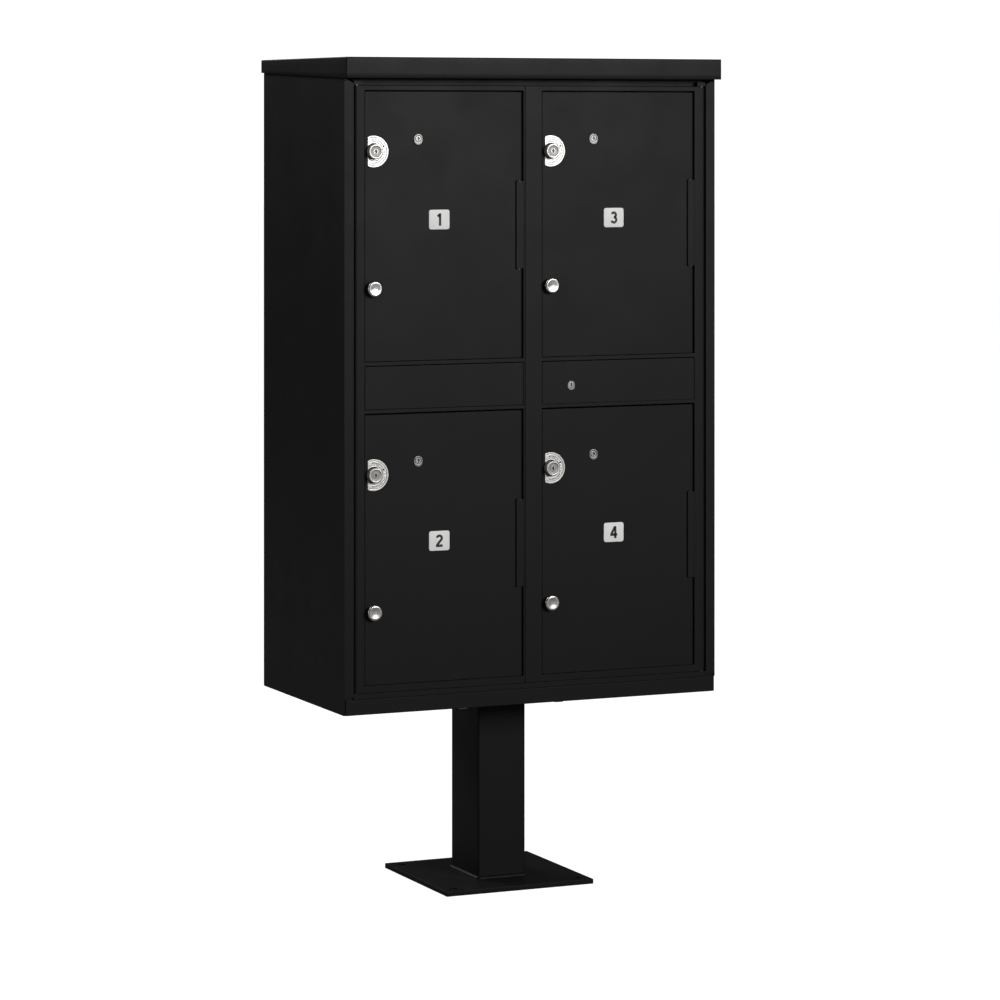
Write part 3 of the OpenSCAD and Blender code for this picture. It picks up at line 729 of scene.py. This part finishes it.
@dataclass
class Hood:
    """Rain hood folded from one sheet, with a rounded top edge and a folded hem."""

    finishes: Finishes
    back_drop: float = 25 * MM
    sheet: float = 2.5 * MM
    bend: float = 2.2 * MM
    corner: float = 2.6 * MM

    def build(self) -> None:
        """Builds the hood.

        The outline in plan is a rectangle with rounded corners. Each row of the grid is that outline
        moved inwards by d, at a height of top - t * drop(y), where drop grows evenly from the back
        edge's flange to the front fascia. t runs from 0 at the top to 1 at the hem and back inside.
        """
        low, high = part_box("hood")
        front_drop = high.z - low.z
        half = Vector(((high.x - low.x) / 2, (high.y - low.y) / 2))
        middle = Vector(((high.x + low.x) / 2, (high.y + low.y) / 2))
        corners = rectangle(2 * half.x, 2 * half.y)
        outline = self.subdivided(rounded_line(corners, self.corner, steps=7, closed=True))
        inward, lip = 30 * MM, 14 * MM
        over = rounded_line(np.array([[inward, 0.0], [0.0, 0.0], [0.0, lip]]), self.bend, steps=7)
        under = rounded_line(np.array([[self.sheet, lip], [self.sheet, self.sheet], [inward, self.sheet]]),
                             0.8 * MM, steps=3)
        hem_t = np.array([0.5, 0.8, 0.985, 1.0, 1.0, 0.985, 0.8, 0.5])
        hem_d = np.array([0.0, 0.0, 0.0, 0.12, 0.88, 1.0, 1.0, 1.0]) * self.sheet
        distance = np.concatenate([over[:, 0], hem_d, under[:, 0]])
        rings = inset(outline, distance)
        drop = front_drop + (rings[..., 1] + half.y) / (2 * half.y) * (self.back_drop - front_drop)
        hem = lip + (drop[len(over):len(over) + len(hem_t)] - lip) * ((hem_t - 0.5) * 2)[:, None]
        columns = drop.shape[1]
        down = np.concatenate([np.repeat(over[:, 1:], columns, axis=1), hem,
                               np.repeat(under[:, 1:], columns, axis=1)])
        x, y = rings[..., 0] + middle.x, rings[..., 1] + middle.y
        shell = Shell("hood_sheet")
        shell.surface(np.stack([x, y, high.z - down], axis=-1), caps=(True, True))
        piece = shell.build(self.finishes.coat)
        hand_over(piece, "cabinet", Slot.COAT, "hood")

    @staticmethod
    def subdivided(outline: np.ndarray, parts: int = 10) -> np.ndarray:
        """Each edge of an outline cut into equal parts."""
        after = np.roll(outline, -1, axis=0)
        t = np.linspace(0, 1, parts, endpoint=False)[None, :, None]
        return (outline[:, None] * (1 - t) + after[:, None] * t).reshape(-1, 2)


@dataclass
class Pedestal:
    """Base plate, column and top plate, with the weld round the column's foot and head."""

    finishes: Finishes
    weld: float = 5.0 * MM
    corner: float = 4.0 * MM
    ripple: float = 0.35 * MM
    ripple_pitch: float = 4.2 * MM

    def build(self) -> None:
        """Builds the plates, the column, both welds and the bolts."""
        for node, radius in (("base_plate", 0.9 * MM), ("pedestal_column", 0.4 * MM),
                             ("pedestal_top_plate", 0.9 * MM)):
            bent_copy(node, node + "_steel", radius, self.finishes.coat_post, "cabinet")
        low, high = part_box("pedestal_column")
        for name, z, up in (("foot_weld", low.z, 1.0), ("head_weld", high.z, -1.0)):
            hand_over(self.bead(name, low, high, z, up), "cabinet", Slot.COAT)
        dress("pedestal_bolts", self.finishes.zinc)

    def bead(self, name: str, low: Vector, high: Vector, z: float, up: float) -> bpy.types.Object:
        """A fillet weld round the column.

        The path p(u) is the column's outline. The bead's face at p(u) is a bulged line from the column
        to the plate, whose size is leg + ripple * |sin(pi u / pitch)|.

        Args:
            name: the piece's name.
            low: the column's lowest corner.
            high: the column's highest corner.
            z: height of the plate's face that the bead lies on.
            up: 1 where the bead stands on the plate, -1 where it hangs under it.

        Returns:
            The bead.
        """
        path = rounded_line(rectangle(high.x - low.x, high.y - low.y), self.corner, steps=5, closed=True)
        closed = np.concatenate([path, path[:1]])
        length = np.concatenate([[0], np.cumsum(np.linalg.norm(np.diff(closed, axis=0), axis=1))])
        count = int(length[-1] / self.ripple_pitch) * 6
        u = np.linspace(0, length[-1], count, endpoint=False)
        points = np.stack([np.interp(u, length, closed[:, k]) for k in (0, 1)], axis=1)
        leg = self.weld + self.ripple * np.abs(np.sin(np.pi * u / (length[-1] / count) / 6))
        bow = np.linspace(0, 1, 6)
        face = np.stack([bow, (1 - bow)], axis=1) + 0.16 * np.sin(np.pi * bow)[:, None]
        rows = []
        for across, rise in face:
            ring = inset(points, np.array([-1.0]))[0] - points
            rows.append(np.column_stack([points + ring * (leg * across)[:, None], z + up * leg * rise]))
        inner = inset(points, np.array([0.8 * MM]))[0]
        rows.append(np.column_stack([inner, np.full(count, z)]))
        rows.append(np.column_stack([inner, z + up * leg]))
        shell = Shell(name)
        shell.surface(np.array(rows), loop=True)
        return shell.build(self.finishes.coat_post, sharp=60)


@dataclass
class ServiceDoor:
    """One of the two full-height doors: frame, blank panel, hinge tabs and pins."""

    finishes: Finishes
    side: str

    def build(self) -> None:
        """Builds the frame and the panel with bent edges, and dresses the hinges."""
        for node, name, radius in (("_frame", "_door_frame", 0.7 * MM),
                                   ("_blank_panel", "_panel_sheet", 0.9 * MM),
                                   ("_hinge_tabs", "_hinge_knuckles", 0.8 * MM)):
            bent_copy(self.side + node, self.side + name, radius, self.finishes.coat,
                      self.side + "_service_door", dissolve=node != "_frame")
        dress(self.side + "_hinge_pins", self.finishes.zinc)


def dress(node: str, material: bpy.types.Material) -> None:
    """Gives a CAD node that keeps its own shape its finish."""
    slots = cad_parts[node].material_slots
    if not slots:
        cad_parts[node].data.materials.append(material)
    for slot in slots:
        slot.material = material


class Keyhole(Enum):
    """Width and height of the slot for the key, and radius of its round middle, in millimetres."""

    CUSTOMER = (1.8, 8.0, 1.5)
    CONTROL = (1.8, 7.0, 2.6)
    SERVICE = (1.8, 6.5, 2.3)


def slotted_plug(shell: Shell, centre: Vector, radius: float, face: float, end: float, slot: Keyhole) -> None:
    """Adds a round plug with a keyway cut into its face.

    A row of the face is (1 - s) * k(t) + s * c(t), where k is the slot's outline, c the plug's rim and
    t the angle, so the grid runs from the slot's floor up its wall, out over the face and down the side.

    Args:
        shell: the mesh that the plug is added to.
        centre: the plug's axis, at the door's face.
        radius: the plug's radius.
        face: depth of the face, negative in front of the door.
        end: depth of the plug's back end.
        slot: the keyway's size.
    """
    steps = 72
    angle = np.linspace(0, 2 * np.pi, steps, endpoint=False)
    round_rim = np.stack([np.cos(angle), np.sin(angle)], axis=1)
    width, height, middle = slot.value[0] * MM / 2, slot.value[1] * MM / 2, slot.value[2] * MM
    slit = np.minimum(width / np.maximum(np.abs(round_rim[:, 0]), 1e-9),
                      height / np.maximum(np.abs(round_rim[:, 1]), 1e-9))
    key = round_rim * np.maximum(slit, middle)[:, None]
    floor, flat = 3.6 * MM, radius - 0.35 * MM
    rows = [(key, floor), (key, 0.15 * MM)]
    rows += [(key * (1 - share) + round_rim * flat * share, 0.0) for share in (0.06, 0.3, 0.6, 0.9)]
    rows += [(round_rim * r, d) for r, d in ((flat, 0.0), (radius - 0.1 * MM, 0.1 * MM),
                                             (radius, 0.4 * MM), (radius, end - face))]
    points = [np.column_stack([ring[:, 0], np.full(steps, face + d), ring[:, 1]]) for ring, d in rows]
    grid = np.array(points) + np.array(centre)
    radial = np.linalg.norm(grid - np.array(centre), axis=2)[:, 0]
    shell.surface(grid, caps=(True, True), turn=radial)


def threaded(radius: float, start: float, end: float, pitch: float,
             steps: int) -> tuple[np.ndarray, np.ndarray]:
    """Profile and radius factors of a threaded barrel.

    The radius is r - h * w(y / pitch - a / 2 pi), where w is a triangle wave from 0 to 1, so the crest
    climbs one pitch in a turn. It fades out at both ends.

    Args:
        radius: outer radius of the thread.
        start: depth where the thread starts.
        end: depth where it ends.
        pitch: rise in one turn.
        steps: points round the axis.

    Returns:
        The profile and the factor on the radius, rows x steps.
    """
    depth = np.linspace(start, end, int((end - start) / pitch * 5))
    angle = np.linspace(0, 1, steps, endpoint=False)
    wave = np.abs(((depth[:, None] / pitch - angle) % 1) * 2 - 1)
    fade = np.clip(np.minimum(depth - start, end - depth) / pitch, 0, 1)[:, None]
    profile = np.stack([np.full(len(depth), radius), depth], axis=1)
    return profile, 1 - wave * fade * 0.45 * MM / radius


def hex_nut(shell: Shell, centre: Vector, across: float, start: float, height: float,
            turned: float = 0.0) -> None:
    """Adds a hexagon nut: r(a) = f / cos((a mod 60) - 30), cut back to a cone at both faces.

    Args:
        shell: the mesh it is added to, whose material 1 it gets.
        centre: its axis, at the door's face.
        across: radius over the corners.
        start: depth of its front face.
        height: its thickness.
        turned: angle in degrees of the first corner.
    """
    steps = 96
    angle = np.linspace(0, 2 * np.pi, steps, endpoint=False) - math.radians(turned)
    flat = across * math.cos(math.pi / 6)
    hexagon = flat / np.cos(np.mod(angle, np.pi / 3) - np.pi / 6)
    cone = np.array([flat * 0.97, flat * 1.04, across, across, flat * 1.04, flat * 0.97])
    depth = start + height * np.array([0.0, 0.06, 0.16, 0.84, 0.94, 1.0])
    shape = np.minimum(hexagon[None], cone[:, None]) / across
    shell.lathe(np.stack([np.full(6, across), depth], axis=1), centre, steps, shape=shape, material=1)


def cam(shell: Shell, centre: Vector, length: float, width: float, end: float, screw: float) -> None:
    """Adds a lock cam, a round root with a tongue that points down and has a rounded end, and its screw.

    Args:
        shell: the mesh it is added to, whose material 1 it gets.
        centre: the lock's axis, at the door's face.
        length: from the axis to the tongue's end.
        width: the tongue's width.
        end: depth of the screw's head.
        screw: radius of the head's flat.
    """
    root, start = 8.0 * MM, end - CAM_SEAT
    lean = math.degrees(math.asin(width / 2 / root))
    ring = arc(root, lean - 90, 270 - lean, 40)
    tip = np.array([[-width / 2, -length], [width / 2, -length]])
    tongue = rounded_line(np.concatenate([ring[-1:], tip, ring[:1]]), 2.5 * MM, steps=6)[1:-1]
    edge, back = 0.35 * MM, start + CAM_THICK
    profile = np.array([[edge, start], [0.1 * MM, start + 0.1 * MM], [0, start + edge],
                        [0, back - edge], [edge, back]])
    shell.slab(np.concatenate([ring, tongue]), profile, centre, material=1)
    head = np.array([[0.05 * MM, end], [screw, end], [screw + 1 * MM, end - 2 * MM]])
    shell.lathe(rounded_line(head, 0.8 * MM), centre, 40, material=1)


@dataclass
class CustomerLock:
    """Customer lock of one door: bright marked plate, bezel with barrel and nut, keyed plug with cam."""

    finishes: Finishes
    number: int
    plug_radius: float = 6.0 * MM
    mark_radius: float = 21.6 * MM
    mark_half: float = 1.9 * MM
    mark_angle: float = 26.0
    hole: float = 14.9 * MM
    grooves: tuple[float, float] = (17.8 * MM, 25.9 * MM)
    groove_width: float = 0.42 * MM
    ticks: tuple[float, float] = (19.8 * MM, 23.4 * MM)
    tick_step: float = 7.5
    tick_half: float = 1.35

    def build(self) -> None:
        """Builds the three pieces on the door and on the plug's own body."""
        i = self.number
        door, turning = f"compartment_door_{i}", f"customer_lock_{i}"
        node = f"dress_plate_{i}"
        high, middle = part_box(node)[1], centre_of(node)
        radius = high.z - middle.z
        axis = axis_at(high.x - radius, middle.z)
        hand_over(self.dress_plate(axis, radius), door, Slot.BRIGHT, node)
        hand_over(self.bezel(axis), door, Slot.BRIGHT, f"lock_body_{i}")
        hand_over(self.plug(axis), turning, Slot.PLUG, f"lock_plug_{i}")

    def dress_plate(self, axis: Vector, radius: float) -> bpy.types.Object:
        """A plate round the lock, cut flat on the left, with two engraved rings and a scale of ticks.

        With r the distance from the axis and t from -1 to 1 round it, the angle is t * acos(-flat / r),
        so every ring of the grid ends on the flat. The height is the thickness, less the rounding near
        each edge, less the depth of the marks.
        """
        flat = axis.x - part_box(f"dress_plate_{self.number}")[0].x
        thick, hole, rim = 1.6 * MM, self.hole, 0.7 * MM
        fine = np.array([0, 0.1, 0.3, 0.6, 1.0]) * rim
        near = [g + o * MM for g in self.grooves for o in (-0.7, -0.45, -0.25, 0.0, 0.25, 0.45, 0.7)]
        r = np.unique(np.concatenate([hole + fine, radius - fine, near, np.linspace(hole, radius, 26)]))
        t = np.unique(np.concatenate([np.linspace(-1, 1, 361), 1 - fine / 30 / MM, fine / 30 / MM - 1]))
        ratio = np.clip(-flat / np.maximum(r, flat * 1.0001), -1, 1)[:, None]
        angle = t[None] * np.arccos(ratio)
        x, z = r[:, None] * np.cos(angle), r[:, None] * np.sin(angle)
        edge = np.minimum(np.minimum(r - hole, radius - r)[:, None], x + flat)
        lift = np.sqrt(np.clip(1 - (1 - np.clip(edge / rim, 0, 1)) ** 2, 0, 1))
        groove = sum(np.exp(-((r - g) / self.groove_width) ** 2) for g in self.grooves)
        groove = groove[:, None] * (np.abs(t) < 0.94)
        step = np.degrees(angle) / self.tick_step
        tick = (np.abs(step - np.round(step)) * self.tick_step < self.tick_half) & (np.abs(step) < 13.5)
        tick = tick & ((r > self.ticks[0]) & (r < self.ticks[1]))[:, None]
        place = math.radians(self.mark_angle)
        away = np.hypot(x - self.mark_radius * math.cos(place), z - self.mark_radius * math.sin(place))
        marks = (tick & ~(away < 2 * self.mark_half)) | (away < self.mark_half)
        cut = np.clip(groove * 0.3 + marks * 0.16, 0, 0.4) * MM
        y = -(thick * (0.25 + 0.75 * lift) - cut)
        grid = np.stack([x, y, z], axis=-1) + np.array(axis)
        shell = Shell(f"lock_plate_{self.number}")
        ink = np.clip(marks * 0.9 + groove * 0.6, 0, 1)
        shell.surface(grid, wrap=False, turn=r, ink=ink)
        border = np.concatenate([grid[0, :-1], grid[:-1, -1], grid[-1, :0:-1], grid[:0:-1, 0]])
        back = border.copy()
        back[:, 1] = axis.y
        shell.surface(np.array([border, back]), caps=(False, True))
        return shell.build(self.finishes.marked, sharp=50)

    def bezel(self, axis: Vector) -> bpy.types.Object:
        """The fixed part: a dished bezel in front of the door, a threaded barrel and a nut behind it. Its
        dish and side wall get painted shade.
        """
        low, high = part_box(f"lock_body_{self.number}")
        outer = (high.x - low.x) / 2
        proud, length = axis.y - low.y, high.y - axis.y
        inner, barrel, steps = self.plug_radius + FIT, 9.5 * MM, 64
        front = rounded_line(np.array([
            [inner, -proud + 2.4 * MM], [inner, -proud + 1.2 * MM], [9.6 * MM, -proud + 1.3 * MM],
            [10.7 * MM, -proud], [outer - 0.9 * MM, -proud], [outer, -proud + 0.9 * MM],
            [outer, -1.4 * MM], [outer - 0.6 * MM, -0.9 * MM], [outer - 0.6 * MM, 0.0],
            [barrel, 0.0]]), 0.5 * MM, steps=4)
        thread, factor = threaded(barrel, 0.3 * MM, length - 0.6 * MM, 1.5 * MM, steps)
        back = np.array([[barrel, length - 0.5 * MM], [barrel - 0.5 * MM, length], [inner, length]])
        profile = np.concatenate([front, thread, back])
        shape = np.concatenate([np.ones((len(front), steps)), factor, np.ones((len(back), steps))])
        # Painted shade: the dish round the plug and the bezel's outer side wall get about half of the black
        # mark paint, as shade in the recess and a dark reflection on the wall.
        dish_shade = (profile[:, 0] < 10.0 * MM) & (profile[:, 1] < -proud + 3 * MM)
        wall = (profile[:, 0] > outer - 0.8 * MM) & (profile[:, 1] > -proud + 0.8 * MM)
        shell = Shell(f"lock_cylinder_{self.number}")
        shell.lathe(profile, axis, steps, loop=True, shape=shape, ink=dish_shade * 0.47 + wall * 0.5)
        hex_nut(shell, axis, 13.0 * MM, NUT_SEAT, NUT_HEIGHT, 30)
        return shell.build(self.finishes.marked, self.finishes.zinc)

    def plug(self, axis: Vector) -> bpy.types.Object:
        """The turning part: keyed plug, cam and the screw that holds it."""
        low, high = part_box(f"lock_plug_{self.number}")
        face, end = low.y - axis.y, high.y - axis.y
        shell = Shell(f"lock_key_plug_{self.number}")
        slotted_plug(shell, axis, self.plug_radius, face, end - CAM_SEAT, Keyhole.CUSTOMER)
        cam(shell, axis, axis.z - low.z, 12 * MM, end, 4.6 * MM)
        return shell.build(self.finishes.plug, self.finishes.zinc)


@dataclass
class SmallPlug:
    """The turning part of a control or service lock: a keyed plug, with or without a cam."""

    finishes: Finishes
    node: str
    name: str
    turning: str
    slot: Keyhole
    radius: float = 5.5 * MM
    cam_length: float = 0.0
    cam_root: float = 8.0 * MM

    @property
    def axis(self) -> Vector:
        """The lock's axis: its plug's box reaches up to the cam's root, or to its own rim."""
        return axis_at(centre_of(self.node).x,
                       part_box(self.node)[1].z - (self.cam_root if self.cam_length else self.radius))

    def build(self) -> None:
        """Builds the plug."""
        low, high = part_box(self.node)
        end = high.y - FRONT
        plug = Shell(self.name)
        tail = end - (CAM_SEAT if self.cam_length else 0.0)
        slotted_plug(plug, self.axis, self.radius, low.y - FRONT, tail, self.slot)
        if self.cam_length:
            cam(plug, self.axis, self.cam_length, 10 * MM, end, 4.2 * MM)
        made = plug.build(self.finishes.plug, self.finishes.zinc)
        hand_over(made, self.turning, Slot.PLUG, self.node)


@dataclass
class ControlLock:
    """A control lock: dull ring with a hanging lobe, threaded barrel and nut, and its plug with cam."""

    finishes: Finishes
    number: int
    ring: float = 9 * MM
    lobe: float = 3 * MM
    barrel: float = 8 * MM
    depth: float = 22 * MM
    nut: float = 12 * MM

    def build(self) -> None:
        """Builds the ring with what is behind it, and the plug."""
        i, node, steps = self.number, f"control_body_{self.number}", 56
        plug = SmallPlug(self.finishes, f"control_plug_{i}", f"control_key_plug_{i}", f"control_lock_{i}",
                         Keyhole.CONTROL, cam_length=26 * MM)
        inner, proud = plug.radius + FIT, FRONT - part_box(node)[0].y
        front = rounded_line(np.array([
            [inner, -proud + 1.2 * MM], [inner, -proud + 0.6 * MM], [inner + 0.8 * MM, -proud],
            [self.ring - 0.5 * MM, -proud], [self.ring, -proud + 0.7 * MM], [self.ring, 0.0],
            [self.barrel, 0.0]]), 0.4 * MM, steps=4)
        hang = np.clip((front[:, 0] - inner - 0.6 * MM) / (self.ring - inner - 1.2 * MM), 0, 1) * self.lobe
        hang = np.where((front[:, 1] > -0.2 * MM) & (front[:, 0] < self.ring - 0.3 * MM), 0.0, hang)
        thread, factor = threaded(self.barrel, 0.3 * MM, self.depth - 0.4 * MM, 1.25 * MM, steps)
        back = np.array([[self.barrel - 0.3 * MM, self.depth], [inner, self.depth]])
        shape = np.concatenate([np.ones((len(front), steps)), factor, np.ones((len(back), steps))])
        lobe = np.concatenate([hang, np.zeros(len(thread) + len(back))])
        shell = Shell(f"control_ring_{i}")
        profile = np.concatenate([front, thread, back])
        shell.lathe(profile, plug.axis, steps, loop=True, shape=shape, lobe=lobe)
        hex_nut(shell, plug.axis, self.nut, NUT_SEAT, NUT_HEIGHT)
        made = shell.build(self.finishes.ring, self.finishes.zinc)
        hand_over(made, f"compartment_door_{i}", Slot.LOCK, node)
        plug.build()


@dataclass
class PullKnob:
    """Turned pull knob with a waist and a dished face, its stud and its nut."""

    finishes: Finishes
    number: int

    def build(self) -> None:
        """Builds the knob."""
        node = f"knob_{self.number}"
        low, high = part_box(node)
        axis = axis_at(centre_of(node).x, centre_of(node).z)
        rim, out, back = (high.x - low.x) / 2, FRONT - low.y, high.y - FRONT
        turned = rounded_line(np.array([
            [0.02 * MM, -out + 1.3 * MM], [4.6 * MM, -out + 1.0 * MM], [8.6 * MM, -out + 0.4 * MM],
            [rim - 2.4 * MM, -out], [rim, -out + 1.6 * MM], [rim, -out + 3.0 * MM],
            [rim - 1.8 * MM, -out + 4.8 * MM], [7.2 * MM, -5.6 * MM], [7.2 * MM, -3.4 * MM],
            [9.4 * MM, -1.2 * MM], [9.4 * MM, 0.0]]), 1.1 * MM, steps=6)
        shell = Shell(f"pull_knob_{self.number}")
        shell.lathe(turned, axis, 72)
        thread, factor = threaded(3.0 * MM, -0.2 * MM, back, 0.8 * MM, 32)
        shell.lathe(thread, axis, 32, shape=factor, material=1)
        hex_nut(shell, axis, 6.0 * MM, NUT_SEAT, 4.0 * MM)
        piece = shell.build(self.finishes.bright, self.finishes.zinc)
        hand_over(piece, f"compartment_door_{self.number}", Slot.BRIGHT, node)


@dataclass
class NumberPlate:
    """White plate with rounded corners and the compartment's number cut into it."""

    finishes: Finishes
    number: int
    corner: float = 5.0 * MM
    digit_height: float = 23.0 * MM
    stroke: float = 4.7 * MM

    def build(self) -> None:
        """Builds the plate and its figure."""
        node = f"number_plate_{self.number}"
        low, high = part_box(node)
        middle = (low + high) / 2
        outline = rounded_line(rectangle(high.x - low.x, high.z - low.z), self.corner, steps=9, closed=True)
        thick = FRONT - low.y
        profile = np.array([[0.45 * MM, -thick], [0.12 * MM, -thick + 0.08 * MM], [0, -thick + 0.35 * MM],
                            [0, 0]])
        shell = Shell(f"number_plate_face_{self.number}")
        shell.slab(outline, profile, axis_at(middle.x, middle.z))
        door = f"compartment_door_{self.number}"
        hand_over(shell.build(self.finishes.plate), door, Slot.PLATE, node)
        figure = self.figure(Vector((middle.x, low.y, middle.z)))
        hand_over(figure, door, Slot.LOCK)

    def figure(self, place: Vector) -> bpy.types.Object:
        """The number as bold painted strokes in low relief.

        A stroke is its path carried out to both sides by half its width, along the normal that bisects
        each bend, with a top, two edges and a foot.
        """
        shell = Shell(f"figure_{self.number}")
        half, lift = self.stroke / 2, 0.12 * MM
        for path in figure_paths(self.number):
            line = path * self.digit_height
            along = np.gradient(line, axis=0)
            along /= np.linalg.norm(along, axis=1, keepdims=True)
            side = np.stack([-along[:, 1], along[:, 0]], axis=1) * half
            left, right = line + side, line - side
            low, high = place.y + 0.1 * MM, place.y - lift
            section = [(left, low), (left, high), (right, high), (right, low)]
            points = np.stack([np.column_stack([place.x + p[:, 0], np.full(len(p), y), place.z + p[:, 1]])
                               for p, y in section], axis=1)
            shell.surface(points, caps=(True, True))
        return shell.build(self.finishes.ink)


def figure_paths(number: int) -> list[np.ndarray]:
    """The strokes of a plain bold figure one unit high, about its centre.

    Args:
        number: 1 to 4.

    Returns:
        The middle line of each stroke.
    """
    def line(*points: tuple[float, float], radius: float = 0.03) -> np.ndarray:
        """A bent stroke through these points."""
        return rounded_line(np.array(points), radius, steps=6)

    if number == 1:
        return [line((0.06, -0.5), (0.06, 0.5)),
                line((0.06, 0.41), (-0.02, 0.34), (-0.17, 0.27), radius=0.06)]
    if number == 2:
        top = arc(0.21, 168, -28, 22) * np.array([1.0, 0.93]) + np.array([0.0, 0.21])
        return [np.concatenate([top, line(tuple(top[-1]), (-0.2, -0.34))[1:]]),
                line((-0.3, -0.405), (0.29, -0.405))]
    if number == 3:
        upper = arc(0.19, 158, -86, 22) + np.array([0.0, 0.215])
        lower = arc(0.22, 86, -160, 24) + np.array([0.0, -0.185])
        return [upper, lower]
    return [line((0.13, -0.5), (0.13, 0.5)), line((0.09, 0.42), (-0.235, -0.17)),
            line((-0.32, -0.2), (0.32, -0.2))]


@dataclass
class CompartmentDoor:
    """One compartment door with its locks, knob and number plate."""

    finishes: Finishes
    number: int

    def build(self) -> None:
        """Builds the door sheet and everything fixed to it."""
        i = self.number
        door = f"compartment_door_{i}"
        bent_copy(f"door_{i}", f"door_sheet_{i}", 0.9 * MM, self.finishes.coat, door)
        CustomerLock(self.finishes, i).build()
        ControlLock(self.finishes, i).build()
        PullKnob(self.finishes, i).build()
        NumberPlate(self.finishes, i).build()


@dataclass
class ServiceLock:
    """Service lock on the right blank panel, with its case, bolt and the latch of the left door."""

    finishes: Finishes

    def build(self) -> None:
        """Builds the plug, the case, the bolt and the latch."""
        SmallPlug(self.finishes, "service_lock_plug", "service_key_plug", "service_lock",
                  Keyhole.SERVICE).build()
        self.case()
        for node, name, body in (("service_bolt", "sliding_bolt", "service_bolt"),
                                 ("left_latch", "latch_lever", "left_latch")):
            bent_copy(node, name, 0.5 * MM, self.finishes.zinc, body, Slot.ZINC)

    def case(self) -> None:
        """The lock's case with bent edges: faces in front of the panel get the dull ring's finish."""
        piece = bent_copy("service_lock_body", "service_lock_case", 0.35 * MM, self.finishes.lock_black,
                          "right_service_door", Slot.LOCK)
        mesh = piece.data
        mesh.materials.append(self.finishes.ring)
        middle = np.empty(len(mesh.polygons) * 3)
        mesh.polygons.foreach_get("center", middle)
        in_front = middle.reshape(-1, 3)[:, 1] < FRONT - 0.2 * MM
        mesh.polygons.foreach_set("material_index", in_front.astype(np.int32))


# ---------------------------------------------------------------- camera and studio


@dataclass(frozen=True)
class View:
    """The camera: level, to the left of the unit, at the height of its upper doors."""

    place: tuple[float, float, float] = (-2.9837, -6.7030, 1.4579)
    turn: float = -0.421928
    lens: float = 136.84
    shift: float = -0.37956

    def build(self) -> None:
        """Makes the scene's camera."""
        data = bpy.data.cameras.new("camera")
        data.lens, data.sensor_width, data.shift_y = self.lens, 36.0, self.shift
        data.clip_end = 200.0
        camera = linked("camera", data)
        camera.location = self.place
        camera.rotation_euler = (math.pi / 2, 0.0, self.turn)
        bpy.context.scene.camera = camera


@dataclass(frozen=True)
class SoftBox:
    """One soft rectangular studio light."""

    name: str
    place: tuple[float, float, float]
    aim: tuple[float, float, float]
    size: tuple[float, float]
    power: float

    def build(self) -> None:
        """Makes the light and turns it to what it aims at."""
        data = bpy.data.lights.new(self.name, "AREA")
        data.shape, data.size, data.size_y, data.energy = "RECTANGLE", *self.size, self.power
        lamp = linked(self.name, data)
        lamp.location = self.place
        lamp.rotation_euler = (Vector(self.aim) - Vector(self.place)).to_track_quat("-Z", "Y").to_euler()


@dataclass(frozen=True)
class Studio:
    """Pale seamless floor, an even surround and soft boxes."""

    surround: float = 0.05
    backdrop: float = 1.1
    lights: tuple[SoftBox, ...] = (
        SoftBox("key", (2.4, -6.6, 2.9), (0.0, 0.0, 0.8), (2.8, 2.2), 320.0),
        SoftBox("card", (-6.0, -2.6, 1.6), (0.0, 0.0, 1.1), (2.0, 2.4), 28.0),
        SoftBox("side", (-3.5, -1.0, 5.0), (0.0, 0.0, 1.0), (2.0, 2.0), 60.0),
        SoftBox("back", (-2.6, 5.6, 4.4), (0.0, 0.0, 1.1), (2.4, 2.0), 130.0),
    )

    def build(self) -> None:
        """Makes the floor, the surround and the lights."""
        bpy.context.scene.view_settings.view_transform = "Standard"
        world = bpy.data.worlds.new("surround")
        world.use_nodes = True
        g, sky = Graph(world.node_tree), world.node_tree.nodes["Background"]
        sky.inputs["Color"].default_value = rgba(GREY)
        seen = g.add("LightPath").outputs["Is Camera Ray"]
        g.put(sky.inputs["Strength"], g.ramp(seen, 0.0, 1.0, self.surround, self.backdrop))
        bpy.context.scene.world = world
        for light in self.lights:
            light.build()
        self.floor()

    def floor(self) -> None:
        """A round pale floor just under the base plate, in rings whose radii grow as a square."""
        rings, steps, reach, sunk = 12, 96, 60.0, 0.2 * MM
        r = np.linspace(0.01, 1.0, rings)[:, None] ** 2 * reach
        a = np.linspace(0, 2 * np.pi, steps, endpoint=False)
        grid = np.stack([r * np.cos(a), r * np.sin(a), np.full((rings, steps), -sunk)], axis=-1)
        mesh = bpy.data.meshes.new("floor")
        faces = grid_quads(rings, steps, True).tolist() + [list(range(steps))]
        mesh.from_pydata(grid.reshape(-1, 3).tolist(), [], faces)
        material, g, bsdf = new_material("Pale floor")
        g.put(bsdf.inputs["Base Color"], g.blend(g.noise(3.0, 3.0), rgba(GREY, 0.26), rgba(GREY, 0.30)))
        bsdf.inputs["Roughness"].default_value = 0.9
        bsdf.inputs["Specular IOR Level"].default_value = 0.1
        bsdf.inputs["Emission Color"].default_value = rgba(GREY)
        seen = g.add("LightPath").outputs["Is Camera Ray"]
        g.put(bsdf.inputs["Emission Strength"], g.ramp(seen, 0.0, 1.0, 0.0, self.backdrop * 0.9))
        mesh.materials.append(material)
        linked("floor", mesh)


def main() -> None:
    """Builds every sub-assembly in order."""
    logging.basicConfig(level=logging.INFO, format="%(name)s: %(message)s")
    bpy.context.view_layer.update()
    View().build()
    Studio().build()
    finishes = Finishes()
    Casing(finishes).build()
    Hood(finishes).build()
    Pedestal(finishes).build()
    for side in SIDES:
        ServiceDoor(finishes, side).build()
    ServiceLock(finishes).build()
    for number in DOORS:
        CompartmentDoor(finishes, number).build()


if __name__ == "__main__":
    main()
